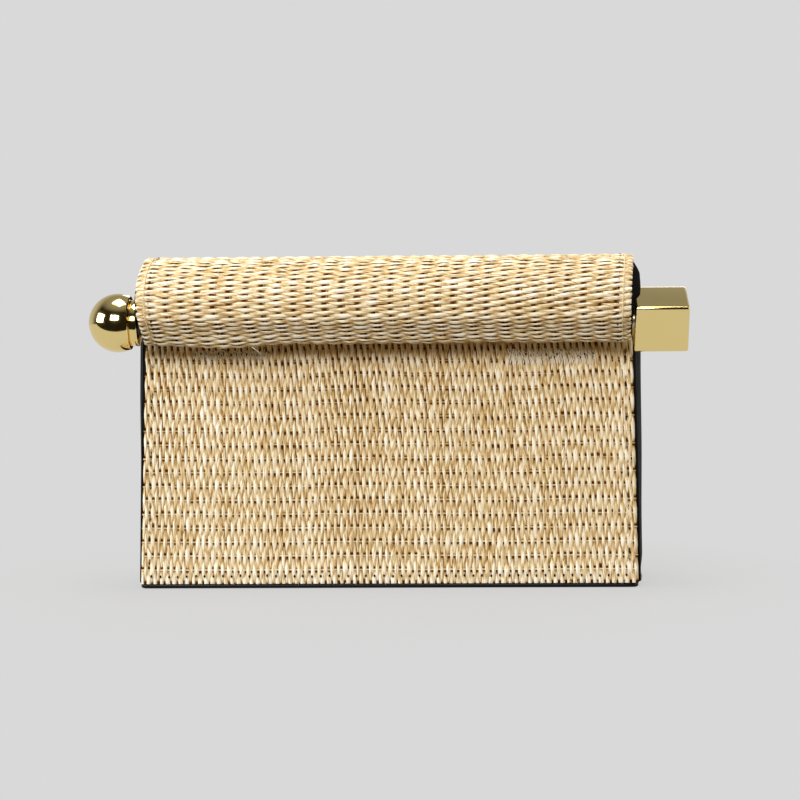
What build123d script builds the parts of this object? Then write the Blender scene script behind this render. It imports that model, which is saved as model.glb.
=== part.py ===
from build123d import *
import os
from math import asin, atan, cos, degrees, radians, sin, sqrt, tan

# Raffia box bag, in millimetres. The origin is on the floor under the middle of the base.
# +Z is up, the woven front faces -Y, and left and right are as seen from the front.

# Box
base_width = 200.0
top_width = 196.0
base_depth = 50.0
bag_height = 133.1
front_rim_drop = 14.1
front_lean_angle = 6.0

# Woven cloth
raffia_thickness = 1.7
ridge_pitch = 2.6
ridge_height = 0.29

# Walls, from the cloth inward
board_thickness = 1.6
lining_thickness = 0.8
base_leather_thickness = 1.8
base_board_thickness = 2.0
base_corner_radius = 2.5
base_edge_chamfer = 0.6

# Leather sides over foam
gusset_leather_thickness = 1.4
gusset_edge_thickness = 2.2
gusset_bulge = 3.4
gusset_corner_radius = 11.0

# Facing of the mouth
facing_height = 10.0
facing_thickness = 0.8

# Slip pocket on the back lining
pocket_width = 110.0
pocket_height = 62.0
pocket_drop = 11.0
pocket_leather_thickness = 0.9
pocket_gap = 1.1
pocket_seam_width = 3.0
pocket_corner_radius = 8.0

# Roof of the flap, and the mitre that it folds on
roof_drop = 4.5
roof_board_thickness = 0.8
lid_clearance = 0.5
mitre_gap = 0.5
mitre_angle = 45.0
fold_leg = 8.0
fold_thickness = 0.6

# Roll at the front of the flap
flap_width = 194.2
flap_offset = -1.1
front_arc_radius = 20.0
crease_radius = 5.0
crease_start_angle = 12.0
underside_angle = 52.0
bottom_arc_radius = 8.5
heel_rise_angle = 120.0
heel_radius = 2.5
panel_clearance = 0.6
roll_end_thickness = 1.2
roll_end_inset = 0.7

# Hidden magnets
magnet_diameter = 10.0
magnet_thickness = 2.0
wall_magnet_thickness = 1.5
magnet_spacing = 132.0
magnet_drop = 7.0
seat_clearance = 0.1

# Bar with its ball and block
bar_drop = 26.1
rod_diameter = 8.0
rod_wall = 1.0
running_clearance = 0.08
end_clearance = 0.4
sleeve_wall = 1.1
collar_diameter = 18.6
collar_thickness = 2.0
collar_edge_chamfer = 0.4
ball_diameter = 23.4
ball_flat_distance = 5.1
ball_socket_depth = 11.0
block_side = 19.5
block_length = 21.5
block_edge_radius = 0.9
block_end_chamfer = 0.6
block_turn_angle = 25.6
block_clearance = 0.8
block_socket_depth = 14.0
screw_diameter = 3.0
screw_sink = 0.6
socket_clearance = 0.05

# Every cut runs past the solid by this much
overrun = 5.0

# Places that follow from the sizes
half_depth = base_depth / 2
front_rim_height = bag_height - front_rim_drop
magnet_height = front_rim_height - magnet_drop
pocket_floor_height = front_rim_height - pocket_drop - pocket_height
bar_height = bag_height - bar_drop
side_taper = (base_width - top_width) / 2 / (bag_height - base_leather_thickness)
lean = radians(front_lean_angle)
raffia_run = raffia_thickness / cos(lean)
board_run = board_thickness / cos(lean)
lining_run = lining_thickness / cos(lean)
wall_run = raffia_run + board_run
wall_depth = raffia_thickness + board_thickness
roof_thickness = raffia_thickness + roof_board_thickness + lining_thickness
raffia_top = front_rim_height - facing_height
floor_top = base_leather_thickness + base_board_thickness
flap_left = flap_offset - flap_width / 2
flap_right = flap_offset + flap_width / 2
roll_left = flap_left - roll_end_thickness
roll_right = flap_right + roll_end_thickness
bar_stand = block_side / sqrt(2) + block_clearance


def front_face(z):
    """Y of the woven front's outer face at a height."""
    return (z - base_leather_thickness) * tan(lean) - half_depth


def facing(angle):
    """Direction that the roll's surface faces, in degrees below straight ahead."""
    return Vector(-cos(radians(angle)), -sin(radians(angle)))


def heading(angle):
    """Direction in which the cloth runs on where the surface faces that way."""
    return Vector(sin(radians(angle)), -cos(radians(angle)))


# Section of the flap as (y, z): arcs that run into each other, worked out from the bar
panel_normal = Vector(-cos(lean), sin(lean))
wall_angle = 180 - front_lean_angle
bar_centre = Vector(front_face(bar_height) - bar_stand / cos(lean), bar_height)
front_centre_z = bag_height - front_arc_radius
crease_centre_z = front_centre_z + (front_arc_radius - crease_radius) * facing(crease_start_angle).Y
bottom_step = bottom_arc_radius - crease_radius
slope_drop = crease_centre_z - bar_height - bottom_step * facing(underside_angle).Y
slope_length = slope_drop / cos(radians(underside_angle))
crease_centre = (
    bar_centre + facing(underside_angle) * bottom_step - heading(underside_angle) * slope_length
)
front_centre = crease_centre - facing(crease_start_angle) * (front_arc_radius - crease_radius)
heel_step = bottom_arc_radius - heel_radius
heel_approach = (
    panel_clearance + heel_radius - bar_stand - heel_step * facing(heel_rise_angle).dot(panel_normal)
)
heel_run = heel_approach / heading(heel_rise_angle).dot(panel_normal)
heel_centre = (
    bar_centre + facing(heel_rise_angle) * heel_step + heading(heel_rise_angle) * heel_run
)
roof_length = half_depth - front_centre.X
roof_radius = (roof_length**2 + roof_drop**2) / (2 * roof_drop)
roof_centre = Vector(front_centre.X, bag_height - roof_radius)
hinge = Vector(half_depth, bag_height - roof_drop)


def roof_angle(y, inset):
    """Angle of a point on the roof's arc, in degrees, at a depth under its outer face."""
    return 90 - degrees(asin((y - roof_centre.X) / (roof_radius - inset)))


def roof_under(y, inset):
    """Height of the roof's arc at a depth under its outer face."""
    return roof_centre.Y + sqrt((roof_radius - inset) ** 2 - (y - roof_centre.X) ** 2)


def roof_arc(y_from, y_to, inset):
    """Stretch of the roof's arc between two depths of the bag."""
    start = roof_angle(y_from, inset)
    return CenterArc(roof_centre, roof_radius - inset, start, roof_angle(y_to, inset) - start)


def cloth_path(inset):
    """Run of the flap's cloth from behind the fold, over the roof and round the roll to its heel."""
    front = front_arc_radius - inset
    crease = crease_radius - inset
    bottom = bottom_arc_radius - inset
    heel = heel_radius - inset
    rise = heel_rise_angle - underside_angle
    return [
        roof_arc(half_depth + overrun, front_centre.X, inset),
        CenterArc(front_centre, front, 90, 90 + crease_start_angle),
        CenterArc(crease_centre, crease, 180 + crease_start_angle, underside_angle - crease_start_angle),
        Line(
            crease_centre + facing(underside_angle) * crease,
            bar_centre + facing(underside_angle) * bottom,
        ),
        CenterArc(bar_centre, bottom, 180 + underside_angle, rise),
        Line(
            bar_centre + facing(heel_rise_angle) * bottom,
            heel_centre + facing(heel_rise_angle) * heel,
        ),
        CenterArc(heel_centre, heel, 180 + heel_rise_angle, wall_angle - heel_rise_angle),
    ]


def meet_roof(point, direction, inset):
    """Point where a straight line meets the roof's arc."""
    reach = point - roof_centre
    along = reach.dot(direction)
    return point + direction * (sqrt(along**2 - reach.dot(reach) + (roof_radius - inset) ** 2) - along)


def flap_section(cloth_inset, lining_inset):
    """Section of the flap with its cloth side and its lining side each moved inward."""
    cloth = cloth_path(cloth_inset)
    under = roof_thickness - lining_inset
    wall_foot = heel_centre + facing(wall_angle) * (heel_radius - lining_inset)
    wall_top = meet_roof(wall_foot, heading(wall_angle), under)
    roof = roof_arc(wall_top.X, half_depth + overrun, under)
    edges = cloth + [Line(wall_foot, wall_top), roof, Line(roof @ 1, cloth[0] @ 0)]
    if cloth_inset != lining_inset:
        edges.append(Line(cloth[-1] @ 1, wall_foot))
    return make_face(edges) - fold_cut(1)


def fold_cut(side):
    """Half plane beyond the fold's mitre: side 1 trims the flap, side -1 trims the back wall."""
    shift = side * (mitre_gap - base_depth) / 2
    return Pos(hinge) * Rot(0, 0, mitre_angle) * Pos(0, shift) * Rectangle(2 * base_depth, base_depth)


def ridged_face(path, back_edges):
    """Section of woven cloth: rounded ridges along a path, closed by its smooth back."""
    count = round(path.length / ridge_pitch)
    step = path.length / count

    def sunk(distance, depth):
        tangent = path.tangent_at(distance, position_mode=PositionMode.LENGTH)
        point = path.position_at(distance, position_mode=PositionMode.LENGTH)
        return point + Vector(-tangent.Y, tangent.X) * depth

    edges = []
    for i in range(count):
        valley = sunk(i * step, ridge_height)
        crest = sunk((i + 0.5) * step, 0)
        edges.append(ThreePointArc(valley, crest, sunk((i + 1) * step, ridge_height)))
    ends = [Line(edges[0] @ 0, back_edges[0] @ 0), Line(edges[-1] @ 1, back_edges[-1] @ 1)]
    return make_face(edges + ends + back_edges)


def along_x(section, x_from, x_to):
    """Solid with a (y, z) section, between two places across the bag."""
    return extrude(Plane.YZ.offset(x_from) * section, x_to - x_from)


def half_width(z):
    """Half the width of the woven front at a height."""
    return base_width / 2 - side_taper * (z - base_leather_thickness)


def within_sides(inset):
    """Block between the two tapering sides, each moved inward."""
    low, high = base_leather_thickness, bag_height
    outline = Polyline(
        (-half_width(low) + inset, low),
        (half_width(low) - inset, low),
        (half_width(high) - inset, high),
        (-half_width(high) + inset, high),
        close=True,
    )
    return extrude(Plane.XZ * make_face(outline), base_depth, both=True)


def across(section, inset):
    """Solid with a (y, z) section that reaches from side to side."""
    return along_x(section, -base_width / 2, base_width / 2) & within_sides(inset)


def leaning_strip(run_from, run_to, low, high):
    """Section of a layer of the front wall, between two level distances behind its outer face."""
    return make_face(
        Polyline(
            (front_face(low) + run_from, low),
            (front_face(low) + run_to, low),
            (front_face(high) + run_to, high),
            (front_face(high) + run_from, high),
            close=True,
        )
    )


def upright_strip(y_from, y_to, low):
    """Section of a layer of the back wall, up to the fold."""
    strip = make_face(
        Polyline((y_from, low), (y_to, low), (y_to, bag_height), (y_from, bag_height), close=True)
    )
    return strip - fold_cut(-1)


def magnet_discs(diameter, depth_from, depth_to):
    """Pair of discs square to the front wall, between two depths behind its outer face."""
    face = Vector(0, front_face(magnet_height), magnet_height)
    normal = Vector(0, panel_normal.X, panel_normal.Y)
    discs = []
    for side in (-1, 1):
        centre = face - normal * depth_to + Vector(side * magnet_spacing / 2, 0, 0)
        discs.append(extrude(Plane(centre, z_dir=normal) * Circle(diameter / 2), depth_to - depth_from))
    return discs


def base_panel():
    sheet = extrude(RectangleRounded(base_width, base_depth, base_corner_radius), base_leather_thickness)
    return chamfer(sheet.faces().sort_by(Axis.Z)[0].edges(), base_edge_chamfer)


def base_board():
    low, high = base_leather_thickness, floor_top
    section = Polyline(
        (front_face(low) + wall_run, low),
        (half_depth - wall_depth, low),
        (half_depth - wall_depth, high),
        (front_face(high) + wall_run, high),
        close=True,
    )
    return across(make_face(section), gusset_edge_thickness)


def front_raffia():
    """Woven front: upright ridges drawn across the base and carried up the lean."""
    reach = base_width / 2
    path = Line((-reach, -half_depth), (reach, -half_depth))
    back = Line((-reach, raffia_run - half_depth), (reach, raffia_run - half_depth))
    foot = Pos(0, 0, base_leather_thickness) * ridged_face(path, [back])
    length = (raffia_top - base_leather_thickness) / cos(lean)
    return extrude(foot, length, dir=(0, sin(lean), cos(lean))) & within_sides(0)


def front_board():
    high = front_rim_height - facing_thickness
    section = leaning_strip(raffia_run, wall_run, base_leather_thickness, high)
    board = across(section, gusset_edge_thickness)
    seats = magnet_discs(magnet_diameter + 2 * seat_clearance, 0, wall_depth + overrun)
    return board - seats


def front_magnets():
    return Compound(magnet_discs(magnet_diameter, raffia_thickness, raffia_thickness + wall_magnet_thickness))


def back_raffia():
    """Woven back: level ridges up to the fold."""
    path = Line((half_depth, base_leather_thickness), (half_depth, bag_height))
    inner = half_depth - raffia_thickness
    back = Line((inner, base_leather_thickness), (inner, bag_height))
    return across(ridged_face(path, [back]) - fold_cut(-1), 0)


def back_board():
    inner = half_depth - wall_depth
    return across(
        upright_strip(inner, inner + board_thickness, base_leather_thickness), gusset_edge_thickness
    )


def side_outline(inset, wall):
    """Outline of a side, under the roof and between the layers of front and back wall."""
    low = base_leather_thickness + inset
    back = half_depth - raffia_thickness - inset - wall
    front_low = front_face(low) + raffia_run + inset + wall
    front_high = front_face(bag_height) + raffia_run + inset + wall
    outline = make_face(
        Polyline(
            (front_low, low), (back, low), (back, bag_height), (front_high, bag_height), close=True
        )
    )
    sky = roof_radius - roof_thickness - lid_clearance - inset
    outline = outline & Pos(roof_centre) * Circle(sky)
    corner = outline.vertices().filter_by_position(Axis.Y, front_rim_height, bag_height).sort_by(Axis.X)[0]
    return fillet(corner, gusset_corner_radius - inset)


def bulged_side(inset):
    """Cone through the right side's two seams, which lean together and meet at its tip far above."""
    low = base_leather_thickness
    edge = half_width(low) - inset
    front = front_face(low) + raffia_run + inset
    back = half_depth - raffia_thickness - inset
    rise = (back - front) / tan(lean)
    tip = Vector(edge - rise * side_taper, back, low + rise)
    front_seam = (Vector(edge, front, low) - tip).normalized()
    back_seam = (Vector(edge, back, low) - tip).normalized()
    middle = (front_seam + back_seam).normalized()
    outward = front_seam.cross(back_seam).normalized()
    bulge = atan(gusset_bulge / rise)
    spread = back_seam.dot(middle)
    slope = atan((1 - spread * cos(bulge)) / (spread * sin(bulge)))
    axis = middle * cos(slope - bulge) - outward * sin(slope - bulge)
    height = rise + overrun
    cone = Cone(height * tan(slope), 0, height, align=(Align.CENTER, Align.CENTER, Align.MAX))
    return Plane(tip, z_dir=-axis) * cone


def gusset_body(inset):
    """Right side as one padded form, bulged outward, with its leather skin's inset."""
    form = bulged_side(inset) & along_x(side_outline(inset, 0), 0, base_width)
    return form - within_sides(gusset_edge_thickness)


def gusset(side):
    """Leather side, with its edges turned in over the foam."""
    skin = gusset_body(0) - gusset_body(gusset_leather_thickness)
    return skin if side > 0 else mirror(skin, Plane.YZ)


def padding(side):
    foam = gusset_body(gusset_leather_thickness)
    return foam if side > 0 else mirror(foam, Plane.YZ)


def lining():
    """One liner: front, floor and back in one run, with the two sides sewn in."""
    rim = front_rim_height - facing_thickness
    low, high = floor_top, floor_top + lining_thickness
    outer = half_depth - wall_depth
    inner = outer - lining_thickness
    run = make_face(
        Polyline(
            (front_face(rim) + wall_run, rim),
            (front_face(low) + wall_run, low),
            (outer, low),
            (outer, bag_height),
            (inner, bag_height),
            (inner, high),
            (front_face(high) + wall_run + lining_run, high),
            (front_face(rim) + wall_run + lining_run, rim),
            close=True,
        )
    )
    above_floor = Pos(0, floor_top) * Rectangle(
        2 * base_depth, bag_height, align=(Align.CENTER, Align.MIN)
    )
    side = side_outline(0, board_run) & above_floor
    sides = across(side, gusset_edge_thickness) - within_sides(gusset_edge_thickness + lining_thickness)
    return across(run - fold_cut(-1), gusset_edge_thickness) + sides


def mouth_facing():
    """Leather folded over the top of the front wall."""
    rim = front_rim_height - facing_thickness
    inner_from = wall_run + lining_run
    inner_to = inner_from + facing_thickness / cos(lean)
    outer = across(leaning_strip(0, raffia_run, raffia_top, front_rim_height), 0)
    fold = leaning_strip(raffia_run, inner_to, rim, front_rim_height)
    leg = leaning_strip(inner_from, inner_to, raffia_top, rim)
    return outer + across(fold + leg, gusset_edge_thickness + lining_thickness)


def slip_pocket():
    """Flat pocket sewn to the back lining along three edges."""
    wall = half_depth - wall_depth - lining_thickness
    outer = Rectangle(pocket_width, pocket_height, align=(Align.CENTER, Align.MIN))
    outer = fillet(outer.vertices().group_by(Axis.Y)[0], pocket_corner_radius)
    room = Pos(0, pocket_seam_width) * Rectangle(
        pocket_width - 2 * pocket_seam_width, pocket_height, align=(Align.CENTER, Align.MIN)
    )
    room = fillet(room.vertices().group_by(Axis.Y)[0], pocket_corner_radius - pocket_seam_width)
    plane = Plane((0, wall, pocket_floor_height), x_dir=(1, 0, 0), z_dir=(0, -1, 0))
    patch = extrude(plane * outer, pocket_gap + pocket_leather_thickness)
    return patch - extrude(plane * room, pocket_gap)


def hinge_fold():
    """Soft strip inside the fold, on the back lining and under the roof."""
    outer = half_depth - wall_depth - lining_thickness
    inner = outer - fold_thickness
    front = outer - fold_leg
    top = roof_thickness + lid_clearance
    section = Polyline(
        (outer, roof_under(outer, top) - fold_leg),
        (outer, roof_under(outer, top)),
        (front, roof_under(front, top)),
        (front, roof_under(front, top) - fold_thickness),
        (inner, roof_under(inner, top) - fold_thickness),
        (inner, roof_under(outer, top) - fold_leg),
        close=True,
    )
    return across(make_face(section), gusset_edge_thickness + lining_thickness)


def flap_raffia():
    """Woven skin of the flap: level ridges over the roof and round the roll."""
    section = ridged_face(Wire(cloth_path(0)), cloth_path(raffia_thickness))
    return along_x(section - fold_cut(1), flap_left, flap_right)


def flap_lining():
    section = flap_section(raffia_thickness, 0) - flap_section(raffia_thickness, lining_thickness)
    return along_x(section, flap_left, flap_right)


def behind_roll():
    """Half plane behind the roll, where the roof leaves it."""
    start = front_face(bag_height)
    return Pos(start, 0) * Rectangle(base_depth, 2 * bag_height, align=(Align.MIN, Align.CENTER))


def roof_board():
    section = flap_section(raffia_thickness, lining_thickness) & behind_roll()
    return along_x(section, flap_left, flap_right)


def roll_core():
    """Foam that fills the roll, with seats for the sleeve and the magnets."""
    section = flap_section(raffia_thickness, lining_thickness) - behind_roll()
    section -= Pos(bar_centre) * Circle(rod_diameter / 2 + running_clearance + sleeve_wall)
    core = along_x(section, flap_left, flap_right)
    lining_face = -panel_clearance - lining_thickness
    seats = magnet_discs(
        magnet_diameter + 2 * seat_clearance, lining_face - magnet_thickness - seat_clearance, lining_face
    )
    return core - seats


def flap_magnets():
    lining_face = -panel_clearance - lining_thickness
    return Compound(magnet_discs(magnet_diameter, lining_face - magnet_thickness, lining_face))


def roll_end(x_from):
    """Leather that closes one end of the roll, with the hole that the bar comes through."""
    section = flap_section(roll_end_inset, roll_end_inset) - behind_roll()
    section -= Pos(bar_centre) * Circle(rod_diameter / 2 + end_clearance)
    return along_x(section, x_from, x_from + roll_end_thickness)


def bar_sleeve():
    bore = rod_diameter / 2 + running_clearance
    section = Pos(bar_centre) * (Circle(bore + sleeve_wall) - Circle(bore))
    return along_x(section, flap_left, flap_right)


collar_right = roll_left - end_clearance
ball_flat = collar_right - collar_thickness
ball_x = ball_flat - ball_flat_distance
block_left = roll_right + end_clearance
block_x = block_left + block_length / 2
rod_left = ball_flat - ball_socket_depth
rod_right = block_left + block_socket_depth
socket_radius = rod_diameter / 2 + socket_clearance


def bar_rod():
    """Thin tube that carries the ball and the block."""
    section = Pos(bar_centre) * (Circle(rod_diameter / 2) - Circle(rod_diameter / 2 - rod_wall))
    return along_x(section, rod_left + socket_clearance, rod_right - socket_clearance)


def screw_hole(x, radius, reach_from, reach_to):
    """Round bar that runs out from the rod at the back, square to a side of the block."""
    centre = Vector(x, bar_centre.X, bar_centre.Y)
    outward = Vector(0, cos(radians(block_turn_angle)), sin(radians(block_turn_angle)))
    start = Plane(centre + outward * reach_from, z_dir=outward)
    return extrude(start * Circle(radius), reach_to - reach_from)


def ball():
    """Ball turned with a flat where it meets the collar, and a socket for the rod."""
    radius = ball_diameter / 2
    pole = ball_x - radius
    rim = sqrt(radius**2 - ball_flat_distance**2)
    bow = ThreePointArc((pole, 0), (ball_x, radius), (ball_flat, rim))
    inside = Polyline(
        (ball_flat, rim), (ball_flat, socket_radius), (rod_left, socket_radius), (rod_left, 0), (pole, 0)
    )
    axis_point = (0, bar_centre.X, bar_centre.Y)
    profile = Plane(axis_point, x_dir=(1, 0, 0), z_dir=(0, -1, 0)) * make_face([bow] + inside.edges())
    thread = screw_hole(ball_x, screw_diameter / 2 + socket_clearance, 0, ball_diameter)
    return revolve(profile, Axis(axis_point, (1, 0, 0))) - thread


def ball_collar():
    section = Pos(bar_centre) * (Circle(collar_diameter / 2) - Circle(socket_radius))
    ring = along_x(section, ball_flat, collar_right)
    rims = ring.edges().filter_by(GeomType.CIRCLE).group_by(SortBy.RADIUS)[-1]
    return chamfer(rims, collar_edge_chamfer)


def block():
    """Square block, turned on the bar, with soft edges and a socket for the rod."""
    form = Box(block_length, block_side, block_side)
    form = fillet(form.edges().filter_by(Axis.X), block_edge_radius)
    ends = form.faces().filter_by(Plane.YZ)
    form = chamfer(ends.edges(), block_end_chamfer)
    form = Pos(block_x, bar_centre.X, bar_centre.Y) * Rot(block_turn_angle, 0, 0) * form
    socket = along_x(Pos(bar_centre) * Circle(socket_radius), roll_right, rod_right)
    thread = screw_hole(block_x, screw_diameter / 2 + socket_clearance, 0, block_side)
    return form - socket - thread


def grub_screws():
    reach = rod_diameter / 2 + socket_clearance
    ends = ((ball_x, ball_diameter / 2), (block_x, block_side / 2))
    return Compound([screw_hole(x, screw_diameter / 2, reach, face - screw_sink) for x, face in ends])


parts = {
    "base_panel": base_panel(),
    "base_board": base_board(),
    "front_raffia": front_raffia(),
    "front_board": front_board(),
    "front_magnets": front_magnets(),
    "back_raffia": back_raffia(),
    "back_board": back_board(),
    "left_gusset": gusset(-1),
    "right_gusset": gusset(1),
    "left_padding": padding(-1),
    "right_padding": padding(1),
    "lining": lining(),
    "slip_pocket": slip_pocket(),
    "mouth_facing": mouth_facing(),
    "hinge_fold": hinge_fold(),
    "flap_raffia": flap_raffia(),
    "roof_board": roof_board(),
    "flap_lining": flap_lining(),
    "roll_core": roll_core(),
    "bar_sleeve": bar_sleeve(),
    "left_roll_end": roll_end(roll_left),
    "right_roll_end": roll_end(flap_right),
    "flap_magnets": flap_magnets(),
    "bar_rod": bar_rod(),
    "ball": ball(),
    "ball_collar": ball_collar(),
    "block": block(),
    "grub_screws": grub_screws(),
}

os.makedirs("parts", exist_ok=True)
for name, shape in parts.items():
    export_step(shape, f"parts/{name}.step")
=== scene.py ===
import logging
import math
from dataclasses import dataclass, field
from enum import Enum
from typing import Any, Callable, Sequence

import bpy
import numpy as np
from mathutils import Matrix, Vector


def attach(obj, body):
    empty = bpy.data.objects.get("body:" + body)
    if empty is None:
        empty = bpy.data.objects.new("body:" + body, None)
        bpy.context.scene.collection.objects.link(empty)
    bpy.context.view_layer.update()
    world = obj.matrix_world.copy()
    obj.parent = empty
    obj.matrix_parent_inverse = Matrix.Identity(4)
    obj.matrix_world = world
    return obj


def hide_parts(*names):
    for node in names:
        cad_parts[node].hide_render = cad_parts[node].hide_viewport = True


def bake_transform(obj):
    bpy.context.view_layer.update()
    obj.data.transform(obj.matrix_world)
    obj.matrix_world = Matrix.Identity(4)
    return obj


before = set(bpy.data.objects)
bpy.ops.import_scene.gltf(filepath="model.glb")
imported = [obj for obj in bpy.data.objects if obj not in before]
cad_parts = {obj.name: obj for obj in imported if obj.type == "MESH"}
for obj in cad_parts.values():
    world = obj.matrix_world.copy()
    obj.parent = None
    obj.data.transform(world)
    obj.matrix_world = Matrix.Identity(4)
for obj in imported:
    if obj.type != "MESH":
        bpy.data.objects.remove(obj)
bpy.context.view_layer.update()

LOG = logging.getLogger("raffia_box_bag")
MM = 0.001
Place = Callable[[np.ndarray, np.ndarray, np.ndarray], np.ndarray]


class Body(Enum):
    """Rigid bodies that pieces ride on."""

    BOX = "box"
    FLAP = "flap"
    BAR = "bar"


class Slot(Enum):
    """Finish slots of the record."""

    RAFFIA = "raffia"
    LEATHER = "black_leather"
    LINING = "lining_leather"
    GOLD = "gold_metal"
    STEEL = "steel"


class Side(Enum):
    """Left and right as seen from the front."""

    LEFT = -1
    RIGHT = 1


def linear(code: str) -> tuple[float, float, float, float]:
    """Turn an sRGB hex colour into linear RGBA."""
    shares = [int(code[k : k + 2], 16) / 255 for k in (1, 3, 5)]
    return (*(c / 12.92 if c <= 0.04045 else ((c + 0.055) / 1.055) ** 2.4 for c in shares), 1.0)


def add_node(
    tree: bpy.types.NodeTree,
    kind: str,
    values: dict[Any, Any] | None = None,
    links: dict[Any, bpy.types.NodeSocket] | None = None,
    stops: Sequence[tuple[float, str]] = (),
    **settings: Any,
) -> bpy.types.Node:
    """Add one shader node with its settings, values and links.

    Args:
        tree: Node tree that the node goes into.
        kind: Blender's name of the node.
        values: Input name or index, to the value that it holds.
        links: Input name or index, to the output that feeds it.
        stops: Places and sRGB colours of a colour ramp.
        settings: Properties of the node itself.

    Returns:
        The new node.
    """
    made = tree.nodes.new(kind)
    for name, value in settings.items():
        setattr(made, name, value)
    for name, value in (values or {}).items():
        made.inputs[name].default_value = value
    for name, output in (links or {}).items():
        tree.links.new(output, made.inputs[name])
    for index, (place, code) in enumerate(stops):
        ramp = made.color_ramp.elements
        stop = ramp[index] if index < 2 else ramp.new(place)
        stop.position, stop.color = place, linear(code)
    return made


def blank_material(name: str) -> tuple[bpy.types.Material, bpy.types.NodeTree, bpy.types.Node]:
    """Start a node material and return it with its tree and its main shader."""
    material = bpy.data.materials.new(name)
    material.use_nodes = True
    tree = material.node_tree
    return material, tree, tree.nodes["Principled BSDF"]


@dataclass(frozen=True)
class RaffiaFinish:
    """Undyed raffia palm leaf, split, twisted flat and woven by hand."""

    name: str = "undyed_raffia_palm"
    fibre_mm: float = 0.70
    streak_mm: float = 6.0
    roughness: float = 0.66
    relief_mm: float = 0.28

    def make(self) -> bpy.types.Material:
        """Build the material.

        Returns:
            Raffia whose colour and depth come from the strands' own paint.
        """
        # Split leaf is dry and fibrous, so each strand shows lengthwise streaks from tan to cream and a
        # nearly matt crown. The depth ramp multiplies in painted shade from the strands' second paint
        # channel: brown where a strand dives under a warp thread, and dark brown on the sheet under the
        # gaps. Real fibres are about 0.1 mm wide, and are drawn wider here so that they show.
        material, tree, shader = blank_material(self.name)
        paint = add_node(tree, "ShaderNodeAttribute", attribute_name="paint")
        split = add_node(tree, "ShaderNodeSeparateColor", links={0: paint.outputs["Color"]})
        lay = add_node(tree, "ShaderNodeUVMap", uv_map="strand")
        stretch = (1 / self.streak_mm, 1 / self.fibre_mm, 1.0)
        along = add_node(tree, "ShaderNodeVectorMath", {1: stretch}, {0: lay.outputs[0]}, operation="MULTIPLY")
        fibre = add_node(
            tree, "ShaderNodeTexNoise", {"Scale": 1.0, "Detail": 3.0, "Roughness": 0.6}, {"Vector": along.outputs[0]}
        )
        swing = add_node(
            tree, "ShaderNodeMath", {1: 2.5, 2: -1.25}, {0: fibre.outputs["Fac"]}, operation="MULTIPLY_ADD"
        )
        tone = add_node(tree, "ShaderNodeMath", links={0: split.outputs["Red"], 1: swing.outputs[0]}, operation="ADD")
        colour = add_node(
            tree,
            "ShaderNodeValToRGB",
            links={0: tone.outputs[0]},
            stops=((0.0, "#96703A"), (1.0, "#FFFCF0"), (0.3, "#CFAE76"), (0.55, "#E9D3A6"), (0.8, "#FDF4DA")),
        )
        # Painted shade: the second paint channel darkens the colour where strands dive under the warp and where the
        # dark sheet shows through.
        depth = add_node(
            tree,
            "ShaderNodeValToRGB",
            links={0: split.outputs["Green"]},
            stops=((0.0, "#4A2508"), (1.0, "#FFFFFF"), (0.25, "#946A30"), (0.5, "#EAD8B6")),
        )
        shaded = add_node(
            tree,
            "ShaderNodeMix",
            {0: 1.0},
            {6: colour.outputs[0], 7: depth.outputs[0]},
            data_type="RGBA",
            blend_type="MULTIPLY",
        )
        bump = add_node(
            tree,
            "ShaderNodeBump",
            {"Strength": 1.0, "Distance": self.relief_mm * MM},
            {"Height": fibre.outputs["Fac"]},
        )
        tree.links.new(shaded.outputs[2], shader.inputs["Base Color"])
        tree.links.new(bump.outputs[0], shader.inputs["Normal"])
        shader.inputs["Roughness"].default_value = self.roughness
        shader.inputs["Specular IOR Level"].default_value = 0.05
        return material


@dataclass(frozen=True)
class LeatherFinish:
    """Chrome-tanned calf leather with an embossed grain."""

    name: str
    colour: str
    worn_colour: str
    grain_mm: float
    relief_mm: float
    roughness: float
    sheen: float = 0.22

    def make(self) -> bpy.types.Material:
        """Build the material.

        Returns:
            Leather with pebbled grain, faint creases and a satin top coat.
        """
        # Finished calf is nearly black with a thin satin coat: the pebbles break up the highlight,
        # and handling leaves patches that are a little greyer and smoother.
        material, tree, shader = blank_material(self.name)
        where = add_node(tree, "ShaderNodeTexCoord")
        cell = add_node(
            tree,
            "ShaderNodeTexVoronoi",
            {"Scale": 1 / (self.grain_mm * MM), "Randomness": 0.9},
            {"Vector": where.outputs["Object"]},
            feature="SMOOTH_F1",
        )
        pore = add_node(
            tree,
            "ShaderNodeTexNoise",
            {"Scale": 0.45 / (self.grain_mm * MM), "Detail": 4.0},
            {"Vector": where.outputs["Object"]},
        )
        wear = add_node(
            tree, "ShaderNodeTexNoise", {"Scale": 1 / (18 * MM), "Detail": 3.0}, {"Vector": where.outputs["Object"]}
        )
        colour = add_node(
            tree,
            "ShaderNodeValToRGB",
            links={0: wear.outputs["Fac"]},
            stops=((0.35, self.colour), (0.8, self.worn_colour)),
        )
        gloss = add_node(
            tree,
            "ShaderNodeMapRange",
            {1: 0.3, 2: 0.7, 3: self.roughness + 0.07, 4: self.roughness - 0.05},
            {0: wear.outputs["Fac"]},
        )
        height = add_node(
            tree, "ShaderNodeMath", links={0: cell.outputs["Distance"], 1: pore.outputs["Fac"]}, operation="MULTIPLY"
        )
        bump = add_node(
            tree,
            "ShaderNodeBump",
            {"Strength": 0.55, "Distance": self.relief_mm * MM},
            {"Height": height.outputs[0]},
            invert=True,
        )
        tree.links.new(colour.outputs[0], shader.inputs["Base Color"])
        tree.links.new(gloss.outputs[0], shader.inputs["Roughness"])
        tree.links.new(bump.outputs[0], shader.inputs["Normal"])
        shader.inputs["Specular IOR Level"].default_value = self.sheen
        return material


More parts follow.
